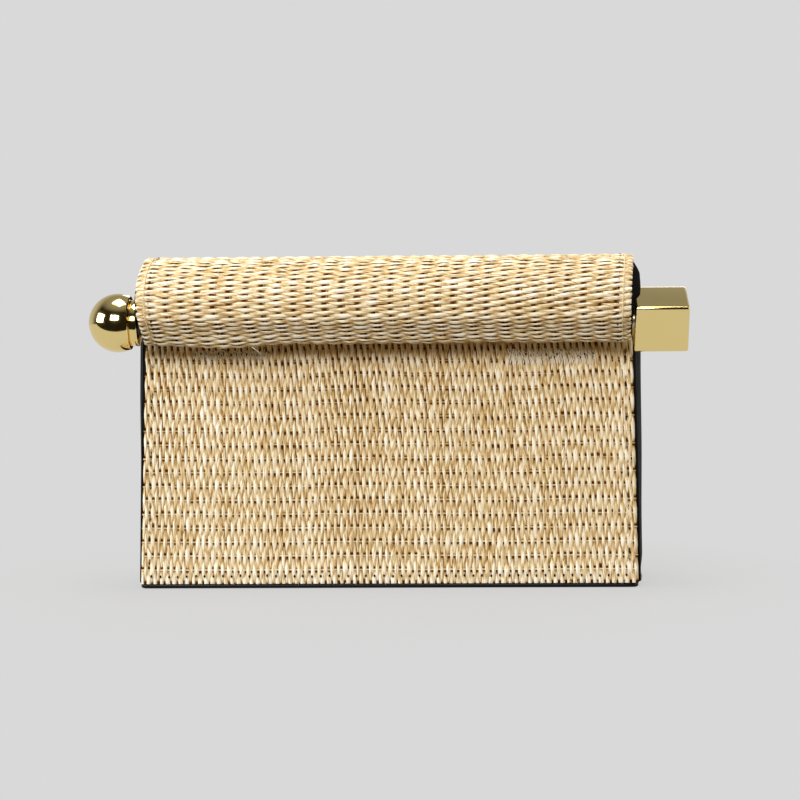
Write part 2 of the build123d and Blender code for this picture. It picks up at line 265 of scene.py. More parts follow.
@dataclass(frozen=True)
class MetalFinish:
    """Turned or milled metal, polished, brushed or plated."""

    name: str
    colour: str
    roughness: float
    haze: float
    scratch_mm: float

    def make(self) -> bpy.types.Material:
        """Build the material.

        Returns:
            Metal with a faint haze and hairline marks from polishing.
        """
        # Polished plate is a near mirror: the studio shows in it, and only a soft haze and
        # hairlines from the mop tell it from chrome.
        material, tree, shader = blank_material(self.name)
        where = add_node(tree, "ShaderNodeTexCoord")
        haze = add_node(
            tree, "ShaderNodeTexNoise", {"Scale": 1 / (6 * MM), "Detail": 2.0}, {"Vector": where.outputs["Object"]}
        )
        gloss = add_node(
            tree,
            "ShaderNodeMapRange",
            {1: 0.3, 2: 0.7, 3: self.roughness, 4: self.roughness + self.haze},
            {0: haze.outputs["Fac"]},
        )
        grain = (1 / (40 * MM), 1 / (self.scratch_mm * MM), 1 / (self.scratch_mm * MM))
        drawn = add_node(
            tree, "ShaderNodeVectorMath", {1: grain}, {0: where.outputs["Object"]}, operation="MULTIPLY"
        )
        hairline = add_node(tree, "ShaderNodeTexNoise", {"Scale": 1.0, "Detail": 2.0}, {"Vector": drawn.outputs[0]})
        bump = add_node(
            tree, "ShaderNodeBump", {"Strength": 0.04, "Distance": 0.01 * MM}, {"Height": hairline.outputs["Fac"]}
        )
        tree.links.new(gloss.outputs[0], shader.inputs["Roughness"])
        tree.links.new(bump.outputs[0], shader.inputs["Normal"])
        shader.inputs["Base Color"].default_value = linear(self.colour)
        shader.inputs["Metallic"].default_value = 1.0
        return material


@dataclass(frozen=True)
class FibreFinish:
    """Pressed or foamed filler, and sewing thread: matt, with a fine speckle."""

    name: str
    colour: str
    fleck: str
    fleck_mm: float
    roughness: float = 0.85

    def make(self) -> bpy.types.Material:
        """Build the material.

        Returns:
            Matt filler with flecks of a second colour.
        """
        # Pressed fibre and open foam scatter light evenly, so only the flecks and pores give them scale.
        material, tree, shader = blank_material(self.name)
        where = add_node(tree, "ShaderNodeTexCoord")
        fleck = add_node(
            tree,
            "ShaderNodeTexNoise",
            {"Scale": 1 / (self.fleck_mm * MM), "Detail": 3.0},
            {"Vector": where.outputs["Object"]},
        )
        colour = add_node(
            tree,
            "ShaderNodeValToRGB",
            links={0: fleck.outputs["Fac"]},
            stops=((0.35, self.colour), (0.7, self.fleck)),
        )
        bump = add_node(
            tree,
            "ShaderNodeBump",
            {"Strength": 0.5, "Distance": 0.2 * self.fleck_mm * MM},
            {"Height": fleck.outputs["Fac"]},
        )
        tree.links.new(colour.outputs[0], shader.inputs["Base Color"])
        tree.links.new(bump.outputs[0], shader.inputs["Normal"])
        shader.inputs["Roughness"].default_value = self.roughness
        return material


class Finishes:
    """The bag's materials, each made once."""

    def __init__(self) -> None:
        """Make every finish that the pieces share."""
        self.raffia = RaffiaFinish().make()
        self.side_leather = LeatherFinish("black_calf_leather", "#0C0B0A", "#161413", 0.9, 0.16, 0.56, 0.03).make()
        self.lining_leather = LeatherFinish("black_goat_lining", "#121010", "#201D1B", 0.6, 0.07, 0.52).make()
        self.edge_paint = LeatherFinish("black_edge_paint", "#070606", "#0C0B0B", 1.6, 0.03, 0.30, 0.16).make()
        self.gold = MetalFinish("gold_plated_brass", "#F2D994", 0.07, 0.05, 0.25).make()
        self.tube = MetalFinish("drawn_aluminium_tube", "#C9C2AC", 0.30, 0.08, 0.15).make()
        self.steel = MetalFinish("ground_magnet_steel", "#8E8E90", 0.34, 0.10, 0.10).make()
        self.greyboard = FibreFinish("pressed_greyboard", "#8A857C", "#5F5B54", 0.8).make()
        self.foam = FibreFinish("open_cell_foam", "#3C3C3C", "#1E1E1E", 0.7).make()
        self.sleeve = FibreFinish("extruded_nylon_sleeve", "#1C1C1C", "#262626", 1.5, 0.5).make()
        self.thread = FibreFinish("waxed_linen_thread", "#F3E3BC", "#D9BF8A", 0.25, 0.6).make()
        self.dark_thread = FibreFinish("black_waxed_thread", "#101010", "#262422", 0.25, 0.5).make()
        self.hole = FibreFinish("needle_hole_shadow", "#1E1206", "#2C1B0A", 0.3, 0.95).make()


@dataclass
class Form:
    """Mesh of one piece while it is built, in millimetres."""

    points: list[np.ndarray] = field(default_factory=list)
    quads: list[np.ndarray] = field(default_factory=list)
    paint: list[np.ndarray] = field(default_factory=list)
    lay: list[np.ndarray] = field(default_factory=list)
    count: int = 0

    def grid(
        self,
        points: np.ndarray,
        paint: np.ndarray | None = None,
        lay: np.ndarray | None = None,
        closed: bool = False,
    ) -> None:
        """Add one or more sheets of quads.

        Args:
            points: Sheets of rows of points, shaped (sheets, rows, columns, 3).
            paint: Tone, painted shade and chance of each point, shaped as points.
            lay: Distance along and across the strand, shaped (sheets, rows, columns, 2).
            closed: Whether each row runs round to its own start.
        """
        sheets, rows, columns, _ = points.shape
        index = np.arange(sheets * rows * columns).reshape(sheets, rows, columns) + self.count
        if closed:
            index = np.concatenate([index, index[:, :, :1]], axis=2)
        a, b = index[:, :-1, :-1], index[:, :-1, 1:]
        c, d = index[:, 1:, 1:], index[:, 1:, :-1]
        self.points.append(points.reshape(-1, 3))
        self.quads.append(np.stack([a, b, c, d], -1).reshape(-1, 4))
        total = sheets * rows * columns
        self.paint.append(np.zeros((total, 3)) if paint is None else paint.reshape(-1, 3))
        self.lay.append(np.zeros((total, 2)) if lay is None else lay.reshape(-1, 2))
        self.count += total

    def capsules(self, starts: np.ndarray, ends: np.ndarray, radius: float, tone: float = 0.75) -> None:
        """Add tapered stitches or fibres between pairs of points.

        Args:
            starts: First points, shaped (count, 3).
            ends: Last points, shaped likewise.
            radius: Half the thickness in the middle.
            tone: Paleness, where raffia is used.
        """
        run = ends - starts
        length = np.linalg.norm(run, axis=1, keepdims=True)
        way = run / length
        helper = np.where(np.abs(way[:, :1]) > 0.9, [[0.0, 1.0, 0.0]], [[1.0, 0.0, 0.0]])
        side = np.cross(way, helper)
        side /= np.linalg.norm(side, axis=1, keepdims=True)
        up = np.cross(side, way)
        turn = np.linspace(0, 2 * np.pi, 7)[:-1, None]
        ring = np.cos(turn) * side[:, None, :] + np.sin(turn) * up[:, None, :]
        share = np.array([0.0, 0.12, 0.5, 0.88, 1.0])
        girth = radius * np.array([0.15, 0.8, 1.0, 0.8, 0.15])
        spine = starts[:, None, :] + share[None, :, None] * run[:, None, :]
        points = spine[:, :, None, :] + girth[None, :, None, None] * ring[:, None, :, :]
        # The second channel is painted shade, a little below full, so raffia-finished fibres come out slightly
        # darker.
        paint = np.ones((*points.shape[:3], 3)) * (tone, 0.9, 0.5)
        along = np.broadcast_to((length * share)[:, :, None], points.shape[:3])
        around = np.broadcast_to(radius * turn[:, 0], points.shape[:3])
        offset = 5.3 * np.arange(len(starts))[:, None, None]
        self.grid(points, paint, np.stack([along + offset, around + offset], -1), closed=True)

    def tube(self, path: np.ndarray, radius: float, tone: float = 0.75) -> None:
        """Add a thin round cord along a path.

        Args:
            path: Points that it follows, shaped (count, 3).
            radius: Half its thickness.
            tone: Paleness, where raffia is used.
        """
        way = np.gradient(path, axis=0)
        way /= np.linalg.norm(way, axis=1, keepdims=True)
        side = np.cross(way, (0.31, 0.17, 0.93))
        side /= np.linalg.norm(side, axis=1, keepdims=True)
        up = np.cross(side, way)
        turn = np.linspace(0, 2 * np.pi, 9)[:-1]
        ring = np.cos(turn)[None, :, None] * side[:, None, :] + np.sin(turn)[None, :, None] * up[:, None, :]
        points = path[:, None, :] + radius * ring
        # The second channel is painted shade, a little below full, so a raffia-finished cord comes out slightly
        # darker.
        paint = np.ones((*points.shape[:2], 3)) * (tone, 0.95, 0.5)
        self.grid(points[None], paint[None], None, closed=True)

    def holes(self, place: Place, spots: np.ndarray, size: tuple[float, float], top: float) -> None:
        """Add needle holes on a patch of cloth.

        Args:
            place: Mapping of the patch.
            spots: Distances along and across, shaped (count, 2).
            size: Length along and width across.
            top: Height of their rims.
        """
        turn = np.linspace(0, 2 * np.pi, 11)[:-1]
        share = np.array([1.0, 0.75, 0.02])[None, :, None]
        a = spots[:, 0, None, None] + size[0] / 2 * share * np.sin(turn)
        c = spots[:, 1, None, None] + size[1] / 2 * share * np.cos(turn)
        h = np.broadcast_to(top + np.array([0.0, -0.12, -0.5])[None, :, None], a.shape)
        self.grid(place(a, c, h), closed=True)

    def piece(self, name: str, material: bpy.types.Material, smooth: bool = True) -> bpy.types.Object:
        """Turn the form into a Blender object.

        Args:
            name: Piece name.
            material: Finish of the whole piece.
            smooth: Whether its shading runs on across faces.

        Returns:
            The object, in the scene and in metres.
        """
        mesh = bpy.data.meshes.new(name)
        points = np.concatenate(self.points) * MM
        quads = np.concatenate(self.quads)
        mesh.from_pydata(points.tolist(), [], quads.tolist())
        colour = mesh.attributes.new("paint", "FLOAT_COLOR", "POINT")
        rgba = np.concatenate([np.concatenate(self.paint), np.ones((self.count, 1))], axis=1)
        colour.data.foreach_set("color", rgba.astype(np.float32).ravel())
        lay = mesh.uv_layers.new(name="strand")
        corner = np.zeros(len(mesh.loops), np.int32)
        mesh.loops.foreach_get("vertex_index", corner)
        lay.uv.foreach_set("vector", np.concatenate(self.lay)[corner].astype(np.float32).ravel())
        mesh.polygons.foreach_set("use_smooth", np.full(len(mesh.polygons), smooth))
        mesh.materials.append(material)
        mesh.validate()
        made = bpy.data.objects.new(name, mesh)
        bpy.context.scene.collection.objects.link(made)
        return made


def settle(piece: bpy.types.Object, body: Body, slot: Slot | None, *stood_for: str) -> bpy.types.Object:
    """Seat a piece on its body.

    Args:
        piece: Finished piece.
        body: Body that it moves with.
        slot: Finish slot of the record, or None; not used.
        stood_for: Solids that the piece is shown in place of.

    Returns:
        The same piece.
    """
    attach(piece, body.value)
    if stood_for:
        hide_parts(*stood_for)
    LOG.info("%s on %s: %d faces", piece.name, body.value, len(piece.data.polygons))
    return piece


def smooth_noise(rng: np.random.Generator, rows: int, stations: np.ndarray, wave: float) -> np.ndarray:
    """Slow random swings along each of a set of strands.

    Args:
        rng: Seeded source of chance.
        rows: Number of strands.
        stations: Distances along a strand.
        wave: Longest wavelength, in the same unit.

    Returns:
        Values around zero, shaped (rows, stations).
    """
    swing = np.zeros((rows, stations.size))
    for k in range(1, 4):
        swing += rng.normal(0, 1 / k, (rows, 1)) * np.sin(
            2 * np.pi * k * stations[None, :] / wave + rng.uniform(0, 2 * np.pi, (rows, 1))
        )
    return swing


def even_loop(corners: np.ndarray, count: int) -> np.ndarray:
    """Spread points evenly round a closed outline.

    Args:
        corners: Its corners, shaped (count, values); the first is not repeated.
        count: How many points to spread.

    Returns:
        Points shaped (count, values).
    """
    ring = np.concatenate([corners, corners[:1]])
    steps = np.concatenate([[0], np.cumsum(np.linalg.norm(np.diff(ring[:, :2], axis=0), axis=1))])
    even = np.linspace(0, steps[-1], count + 1)[:-1]
    return np.stack([np.interp(even, steps, column) for column in ring.T], -1)


def rounded_ring(half_x: float, low_y: float, high_y: float, radius: float, count: int) -> np.ndarray:
    """Rectangle with rounded corners, as evenly spread points.

    Args:
        half_x: Half its width.
        low_y: Front of it.
        high_y: Back of it.
        radius: Radius of its corners.
        count: How many points to spread.

    Returns:
        Points shaped (count, 2).
    """
    corners = []
    for k, (sx, y) in enumerate(((1, high_y), (-1, high_y), (-1, low_y), (1, low_y))):
        inward = radius if k in (2, 3) else -radius
        for turn in np.radians(np.linspace(90 * k, 90 * k + 90, 8)):
            corners.append((sx * (half_x - radius) + radius * math.cos(turn), y + inward + radius * math.sin(turn)))
    return even_loop(np.array(corners), count)


def no_lean(a: np.ndarray, c: np.ndarray) -> np.ndarray:
    """Sideways swing of strands that run straight."""
    return 0 * (a + c)


@dataclass
class Weave:
    """Patch of plain-woven raffia, whose strands bow over one warp thread and dive under the next."""

    along: float
    across: float
    place: Place
    seed: int
    strand_pitch: float = 1.3
    warp_pitch: float = 5.6
    lift: float = 0.44
    crown: float = 0.46
    rings: int = 6
    tone: float = 0.56
    lean: Callable[[np.ndarray, np.ndarray], np.ndarray] = no_lean
    backing_depth: float = 0.70
    backing_step: float = 1.2
    warp_width: float = 0.6
    warp_tone: tuple[float, float] = (0.72, 0.30)
    hem_painted_light: float = 0.0

    def strands(self, form: Form) -> None:
        """Add the strands to a form."""
        rng = np.random.default_rng(self.seed)
        count = round(self.across / self.strand_pitch)
        pitch = self.across / count
        stations = np.linspace(0, self.along, max(3, round(self.along / self.warp_pitch * self.rings) + 1))
        number = np.arange(count)[:, None]
        drift = smooth_noise(rng, 1, stations, 90.0) * 0.10
        jitter = smooth_noise(rng, count, stations, 40.0) * 0.15
        row_wave = 0.32 * smooth_noise(rng, 1, np.arange(count), 70.0).T
        phase = np.pi * (stations[None, :] / self.warp_pitch + number) + drift + jitter + row_wave
        over = (1 + np.cos(phase)) / 2
        girth = 1 + 0.14 * rng.normal(0, 1, (count, 1)) + 0.08 * smooth_noise(rng, count, stations, 17.0)
        width = pitch * (1.16 + 0.10 * over) * np.clip(girth, 0.7, 1.4)
        wander = 0.09 * smooth_noise(rng, count, stations, 31.0)
        middle = (number + 0.5) * pitch
        centre = middle + wander - self.lean(stations[None, :], middle) * np.sin(phase)
        height = self.lift * (2 * over - 1) + 0.05 * smooth_noise(rng, count, stations, 13.0)
        share = np.array([-1.0, -0.55, 0.0, 0.55, 1.0])
        tilt = 0.14 * rng.normal(0, 1, (count, 1)) + 0.10 * smooth_noise(rng, count, stations, 11.0)
        sideways = centre[..., None] + width[..., None] / 2 * share
        drop = self.crown * (0.45 + 0.55 * over)[..., None] * share**2
        raised = height[..., None] - drop + tilt[..., None] * share * 0.5
        ahead = np.broadcast_to(stations[None, :, None], sideways.shape)
        points = self.place(ahead, np.clip(sideways, 0, self.across), raised)
        turn = np.floor(phase / (2 * np.pi) + 0.5).astype(int)
        turn -= turn.min()
        each = rng.normal(0, 0.05, (count, turn.max() + 1))
        tone = self.tone + 0.06 * rng.normal(0, 1, (count, 1)) + np.take_along_axis(each, turn, 1)
        paint = np.zeros((*sideways.shape, 3))
        # The strand's own tone, paler toward both edges, plus painted light: a painted highlight on crowns lifted
        # over a warp thread and a paler left edge for light from the left.
        tone_and_painted_light = tone[..., None] - 0.16 + 0.30 * over[..., None] ** 3 - 0.10 * share + 0.14 * share**2
        paint[..., 0] = np.clip(tone_and_painted_light, 0, 1)
        # Painted light: strands are paler within a few millimetres of the hem, standing in for light that the foot of
        # the front lacks.
        paint[..., 0] += self.hem_painted_light * np.exp(-((ahead / 6.0) ** 2))
        # Painted shade: the second channel goes dark where a strand dives under a warp thread and a little darker
        # toward its edges.
        dive = np.clip(over / 0.20, 0, 1)[..., None]
        paint[..., 1] = 0.03 + 0.97 * dive**2 * (3 - 2 * dive) * (1 - 0.16 * share**2)
        paint[..., 2] = rng.uniform(0, 1, (count, 1, 1))
        twist = 0.14 * rng.normal(0, 1, (count, 1, 1)) * ahead
        lay = np.stack([ahead + 37.0 * number[..., None], sideways + 3.1 * number[..., None] + twist], -1)
        form.grid(points, paint, lay)

    def warp(self, form: Form) -> None:
        """Add the thin warp threads that the strands run over and under."""
        rows = int(self.along / self.warp_pitch)
        row = np.arange(1, rows + 1)[:, None]
        count = round(self.across / self.strand_pitch)
        pitch = self.across / count
        stations = np.arange(0, self.across + pitch / 4, pitch / 2)[None, :]
        height = -0.55 * self.lift * np.cos(np.pi * (row + stations / pitch - 0.5)) - 0.10
        share = np.array([-1.0, 0.0, 1.0])
        ahead = row[..., None] * self.warp_pitch + self.warp_width / 2 * share + 0 * stations[..., None]
        raised = height[..., None] - 0.14 * share**2
        sideways = np.broadcast_to(stations[..., None], ahead.shape)
        tone = np.interp(ahead, (0, self.along), self.warp_tone)
        # The warp's tone also fills the painted-shade channel, so the warp is darker wherever its tone is lower.
        paint = np.stack([tone, tone, 0 * tone + 0.5], -1)
        lay = np.stack([sideways + 11.0 * row[..., None], ahead], -1)
        form.grid(self.place(ahead, sideways, raised), paint, lay)

    def painted_shade_backing(self, form: Form) -> None:
        """Add the dark sheet under the strands, whose colour is painted shade seen through the gaps."""
        ahead = np.linspace(0, self.along, 2 + int(self.along / 12))
        sideways = np.linspace(0, self.across, 2 + int(self.across / self.backing_step))
        a, c = np.meshgrid(ahead, sideways, indexing="ij")
        points = self.place(a, c, np.full_like(a, -self.backing_depth))
        edge = np.minimum(np.minimum(a, self.along - a), np.minimum(c, self.across - c))
        turned = np.clip(1 - edge / 2.5, 0, 1)
        # Painted shade: dark brown, less dark within 2.5 mm of the patch's edges.
        paint = np.stack([0.24 + 0.3 * turned, 0.24 + 0.6 * turned, 0.5 + 0 * turned], -1)
        form.grid(points[None], paint[None], np.stack([a, c], -1)[None])

    def into(self, form: Form, warp: bool = True) -> None:
        """Add the whole patch to a form."""
        self.strands(form)
        if warp:
            self.warp(form)
        self.painted_shade_backing(form)


@dataclass(frozen=True)
class BagSizes:
    """Sizes that the cloth, leather and metal share with the solids, in millimetres."""

    base_width: float = 200.0
    top_width: float = 196.0
    half_depth: float = 25.0
    height: float = 133.1
    base_leather: float = 1.8
    cloth: float = 1.7
    wall: float = 3.318
    liner: float = 0.8
    lean: float = math.radians(6.0)
    rim: float = 119.0
    facing_height: float = 10.0
    hinge_y: float = 25.0
    hinge_z: float = 128.6
    flap_left: float = -98.2
    flap_right: float = 96.0
    bar_y: float = -28.612
    bar_z: float = 107.0
    magnet_x: float = 66.0
    magnet_z: float = 112.0
    magnet_mark_radius: float = 5.4

    def front(self, z: np.ndarray | float) -> np.ndarray | float:
        """Y of the woven front's outer face at a height."""
        return (z - self.base_leather) * math.tan(self.lean) - self.half_depth

    def magnet_mark(self, x: np.ndarray, z: np.ndarray) -> np.ndarray:
        """Share of a magnet's round mark that shows at each place, from 0 to 1."""
        radius = self.magnet_mark_radius
        places = (-self.magnet_x, self.magnet_x)
        return sum(np.exp(-((((x - m) ** 2 + (z - self.magnet_z) ** 2) / radius**2) ** 4)) for m in places)

    def half_width(self, z: np.ndarray | float) -> np.ndarray | float:
        """Half the width of the box at a height."""
        climb = (z - self.base_leather) / (self.height - self.base_leather)
        return (self.base_width - (self.base_width - self.top_width) * climb) / 2


@dataclass
class RollProfile:
    """Run of the flap's cloth from the fold over the roof and round the roll, in the (y, z) plane."""

    sizes: BagSizes
    front_radius: float = 20.0
    crease_radius: float = 5.0
    bottom_radius: float = 8.5
    heel_radius: float = 2.5
    crease_angle: float = 12.0
    underside_angle: float = 52.0
    heel_angle: float = 120.0
    roof_drop: float = 4.5
    roof_thickness: float = 3.3
    bar_stand: float = 19.5 / math.sqrt(2) + 0.8
    panel_clearance: float = 0.6

    def __post_init__(self) -> None:
        """Work out the arcs from the bar and sample them by length."""
        facing, heading = self.facing, self.heading
        bar = np.array([self.sizes.bar_y, self.sizes.bar_z])
        wall = 180 - math.degrees(self.sizes.lean)
        normal = facing(wall) * -1
        front_z = self.sizes.height - self.front_radius
        crease_z = front_z + (self.front_radius - self.crease_radius) * facing(self.crease_angle)[1]
        step = self.bottom_radius - self.crease_radius
        slope = (crease_z - bar[1] - step * facing(self.underside_angle)[1]) / math.cos(
            math.radians(self.underside_angle)
        )
        crease = bar + facing(self.underside_angle) * step - heading(self.underside_angle) * slope
        self.front_centre = crease - facing(self.crease_angle) * (self.front_radius - self.crease_radius)
        heel_step = self.bottom_radius - self.heel_radius
        reach = self.panel_clearance + self.heel_radius - self.bar_stand
        reach -= heel_step * float(facing(self.heel_angle) @ normal)
        heel = bar + facing(self.heel_angle) * heel_step
        heel = heel + heading(self.heel_angle) * reach / float(heading(self.heel_angle) @ normal)
        length = self.sizes.hinge_y - self.front_centre[0]
        self.roof_radius = (length**2 + self.roof_drop**2) / (2 * self.roof_drop)
        self.roof_centre = np.array([self.front_centre[0], self.sizes.height - self.roof_radius])
        back = 90 - math.degrees(math.asin(length / self.roof_radius))
        runs = (
            (self.roof_centre, self.roof_radius, back, 90.0),
            (self.front_centre, self.front_radius, 90.0, 180 + self.crease_angle),
            (crease, self.crease_radius, 180 + self.crease_angle, 180 + self.underside_angle),
            (bar, self.bottom_radius, 180 + self.underside_angle, 180 + self.heel_angle),
            (heel, self.heel_radius, 180 + self.heel_angle, 180 + wall),
        )
        spots, outs = [], []
        for centre, radius, start, end in runs:
            turn = np.radians(np.linspace(start, end, 160))
            out = np.stack([np.cos(turn), np.sin(turn)], -1)
            spots.append(centre + radius * out)
            outs.append(out)
        self.spots, self.outs = np.concatenate(spots), np.concatenate(outs)
        self.stations = np.concatenate([[0], np.cumsum(np.linalg.norm(np.diff(self.spots, axis=0), axis=1))])
        self.length = float(self.stations[-1])

    @staticmethod
    def facing(angle: float) -> np.ndarray:
        """Direction that the roll faces, in degrees below straight ahead."""
        return np.array([-math.cos(math.radians(angle)), -math.sin(math.radians(angle))])

    @staticmethod
    def heading(angle: float) -> np.ndarray:
        """Direction in which the cloth runs on there."""
        return np.array([math.sin(math.radians(angle)), -math.cos(math.radians(angle))])

    def at(self, s: np.ndarray) -> tuple[np.ndarray, np.ndarray, np.ndarray, np.ndarray]:
        """Point and outward direction at distances along the cloth.

        Args:
            s: Distances from the fold.

        Returns:
            Y and Z of the point, and of the outward direction.
        """
        values = [np.interp(s, self.stations, v) for v in (*self.spots.T, *self.outs.T)]
        return values[0], values[1], values[2], values[3]

    def under_roof(self, y: np.ndarray | float, depth: float) -> np.ndarray | float:
        """Height of the roof at a depth under its outer face."""
        return self.roof_centre[1] + np.sqrt((self.roof_radius - depth) ** 2 - (y - self.roof_centre[0]) ** 2)


@dataclass
class BoxShell:
    """Box of the bag: woven front and back, leather sides and base."""

    sizes: BagSizes
    finishes: Finishes
    profile: RollProfile
    border: float = 3.2
    hem_height: float = 6.0
    hem_hole_pitch: float = 3.6
    border_hole_pitch: float = 4.4
    bead: float = 0.55
    side_bulge: float = 2.9
    side_gain: float = 0.017
    lid_clearance: float = 0.5
    corner: float = 11.0

    def front_place(self, low: float, proud: float) -> Place:
        """Mapping of a patch onto the leaning front.

        Args:
            low: Height at which the patch starts.
            proud: Distance that it stands off the face.

        Returns:
            Function from distances along, across and out to points.
        """
        size = self.sizes

        def place(a: np.ndarray, c: np.ndarray, h: np.ndarray) -> np.ndarray:
            z = low + a * math.cos(size.lean)
            x = (c / size.base_width - 0.5) * 2 * size.half_width(z)
            edge = np.minimum(c, size.base_width - c)
            h = h + proud - 0.45 - 1.0 * np.clip(1 - edge / 1.5, 0, 1) ** 2
            h = h - 0.30 * np.exp(-(((edge - self.border) / 0.45) ** 2))
            turned = np.clip((size.base_leather + self.hem_height - z) / 0.5, -0.5, 0.5)
            h = h + 0.16 * np.sin(np.pi * turned) - 0.3 * np.clip(1 - (z - size.base_leather) / 0.7, 0, 1) ** 2
            return np.stack([x, size.front(z) - h * math.cos(size.lean), z + h * math.sin(size.lean)], -1)

        return place

    def woven_front(self) -> None:
        """Front panel with upright strands, over a turned hem."""
        size = self.sizes
        low = size.base_leather + 0.05
        length = (size.rim - size.facing_height - low) / math.cos(size.lean)
        form = Form()

        def lean(a: np.ndarray, c: np.ndarray) -> np.ndarray:
            """Sideways swing of the strands, which grows toward the mouth."""
            return 0.05 + 0.20 * np.clip(1.25 * a / length - 0.25, 0, 1) + 0 * c

        Weave(
            length,
            size.base_width,
            self.front_place(low, 0.0),
            seed=11,
            lean=lean,
            hem_painted_light=0.16,
        ).into(form)
        panel = form.piece("woven_front", self.finishes.raffia)
        settle(panel, Body.BOX, Slot.RAFFIA, "front_raffia")

    def front_sewing(self) -> None:
        """Needle holes along the hem and borders, and darned patches over the magnets."""
        size = self.sizes
        rng = np.random.default_rng(14)
        place = self.front_place(size.base_leather, 0.0)
        marks = Form()
        across = np.arange(4.4, size.base_width - 3.5, self.hem_hole_pitch)
        hem = np.stack([3.1 + rng.normal(0, 0.10, across.size), across + rng.normal(0, 0.12, across.size)], -1)
        marks.holes(place, hem, (1.2, 0.85), 0.66)
        up = np.arange(9.0, 104.0, self.border_hole_pitch)
        for edge in (self.border + 0.1, size.base_width - self.border - 0.1):
            spots = np.stack([up + rng.normal(0, 0.5, up.size), edge + rng.normal(0, 0.10, up.size)], -1)
            marks.holes(place, spots, (2.4, 0.62), 0.30)
        fibres = Form()
        for low, high, bottom, top in ((20.0, 50.4, 90.6, 94.6), (149.0, 184.5, 88.0, 94.6)):
            knots = np.arange(low, high, 1.05)
            foot = np.stack([bottom + rng.normal(0, 0.25, knots.size), knots], -1)
            head = np.stack([top - rng.uniform(0, 1.2, knots.size), knots + rng.normal(0, 0.9, knots.size)], -1)
            middle = np.stack([(bottom + top) / 2 + rng.normal(0, 0.5, knots.size), knots + 0.6], -1)
            crossed = ((np.roll(foot, -1, 0)[:-1], middle[:-1]), (middle[1:], head[:-1]))
            for ends in ((foot, middle), (middle, head), *crossed):
                rise = rng.uniform(0.45, 0.75, (2, len(ends[0])))
                starts = place(ends[0][:, 0], ends[0][:, 1], rise[0])
                fibres.capsules(starts, place(ends[1][:, 0], ends[1][:, 1], rise[1]), 0.17, 0.95)
            dots = middle[::2] + rng.normal(0, 0.45, (len(middle[::2]), 2)) + (0.7, 0.6)
            marks.holes(place, dots, (1.15, 0.75), 0.60)
        loose = rng.uniform(0, size.base_width, 60)
        fibres.capsules(
            place(rng.uniform(0.6, 1.4, 60), loose, np.full(60, 0.5)),
            place(rng.uniform(-0.3, 0.3, 60), loose + rng.normal(0, 0.7, 60), np.full(60, 0.75)),
            0.10,
            0.7,
        )
        settle(marks.piece("front_needle_holes", self.finishes.hole), Body.BOX, None)
        settle(fibres.piece("front_darning_fibres", self.finishes.raffia), Body.BOX, Slot.RAFFIA)

    def woven_back(self) -> None:
        """Back panel with level strands, up to the fold."""
        size = self.sizes

        def place(a: np.ndarray, c: np.ndarray, h: np.ndarray) -> np.ndarray:
            z = size.base_leather + c
            x = (0.5 - a / size.base_width) * 2 * size.half_width(z)
            edge = np.minimum(a, size.base_width - a)
            h = h - 0.45 - 1.0 * np.clip(1 - edge / 1.5, 0, 1) ** 2
            h = h - 0.30 * np.exp(-(((edge - self.border) / 0.45) ** 2))
            return np.stack([x, size.half_depth + h, np.minimum(z, size.hinge_z - 0.3 + np.minimum(h, 0))], -1)

        form = Form()
        rise = size.hinge_z - size.base_leather - 0.3
        Weave(size.base_width, rise, place, seed=13, warp_pitch=6.4, rings=5).into(form)
        panel = form.piece("woven_back", self.finishes.raffia)
        settle(panel, Body.BOX, Slot.RAFFIA, "back_raffia")
        marks = Form()
        up = np.arange(4.0, rise - 3.0, self.border_hole_pitch)
        for edge in (self.border, size.base_width - self.border):
            marks.holes(place, np.stack([np.full(up.size, edge), up], -1), (0.7, 1.3), 0.35)
        across = np.arange(5.0, size.base_width - 4.0, self.hem_hole_pitch)
        marks.holes(place, np.stack([across, np.full(across.size, 3.2)], -1), (1.2, 0.7), 0.45)
        settle(marks.piece("back_needle_holes", self.finishes.hole), Body.BOX, None)

    def side_outline(self) -> np.ndarray:
        """Outline of a leather side in (y, z), counted round from the back foot."""
        size = self.sizes
        run = size.cloth / math.cos(size.lean)
        low, back = size.base_leather, size.half_depth - size.cloth
        depth = self.profile.roof_thickness + self.lid_clearance
        peak = float(self.profile.under_roof(0.0, depth)) - self.corner
        middle = size.front(peak) + run + self.corner
        centre = np.array([middle, float(self.profile.under_roof(middle, depth)) - self.corner])
        corners = [(back, low)]
        corners += [(y, float(self.profile.under_roof(y, depth))) for y in np.linspace(back, middle, 16)]
        for turn in np.radians(np.linspace(93, 180 - math.degrees(size.lean), 12)):
            corners.append(tuple(centre + self.corner * np.array([math.cos(turn), math.sin(turn)])))
        corners.append((size.front(low) + run, low))
        return even_loop(np.array(corners), 240)

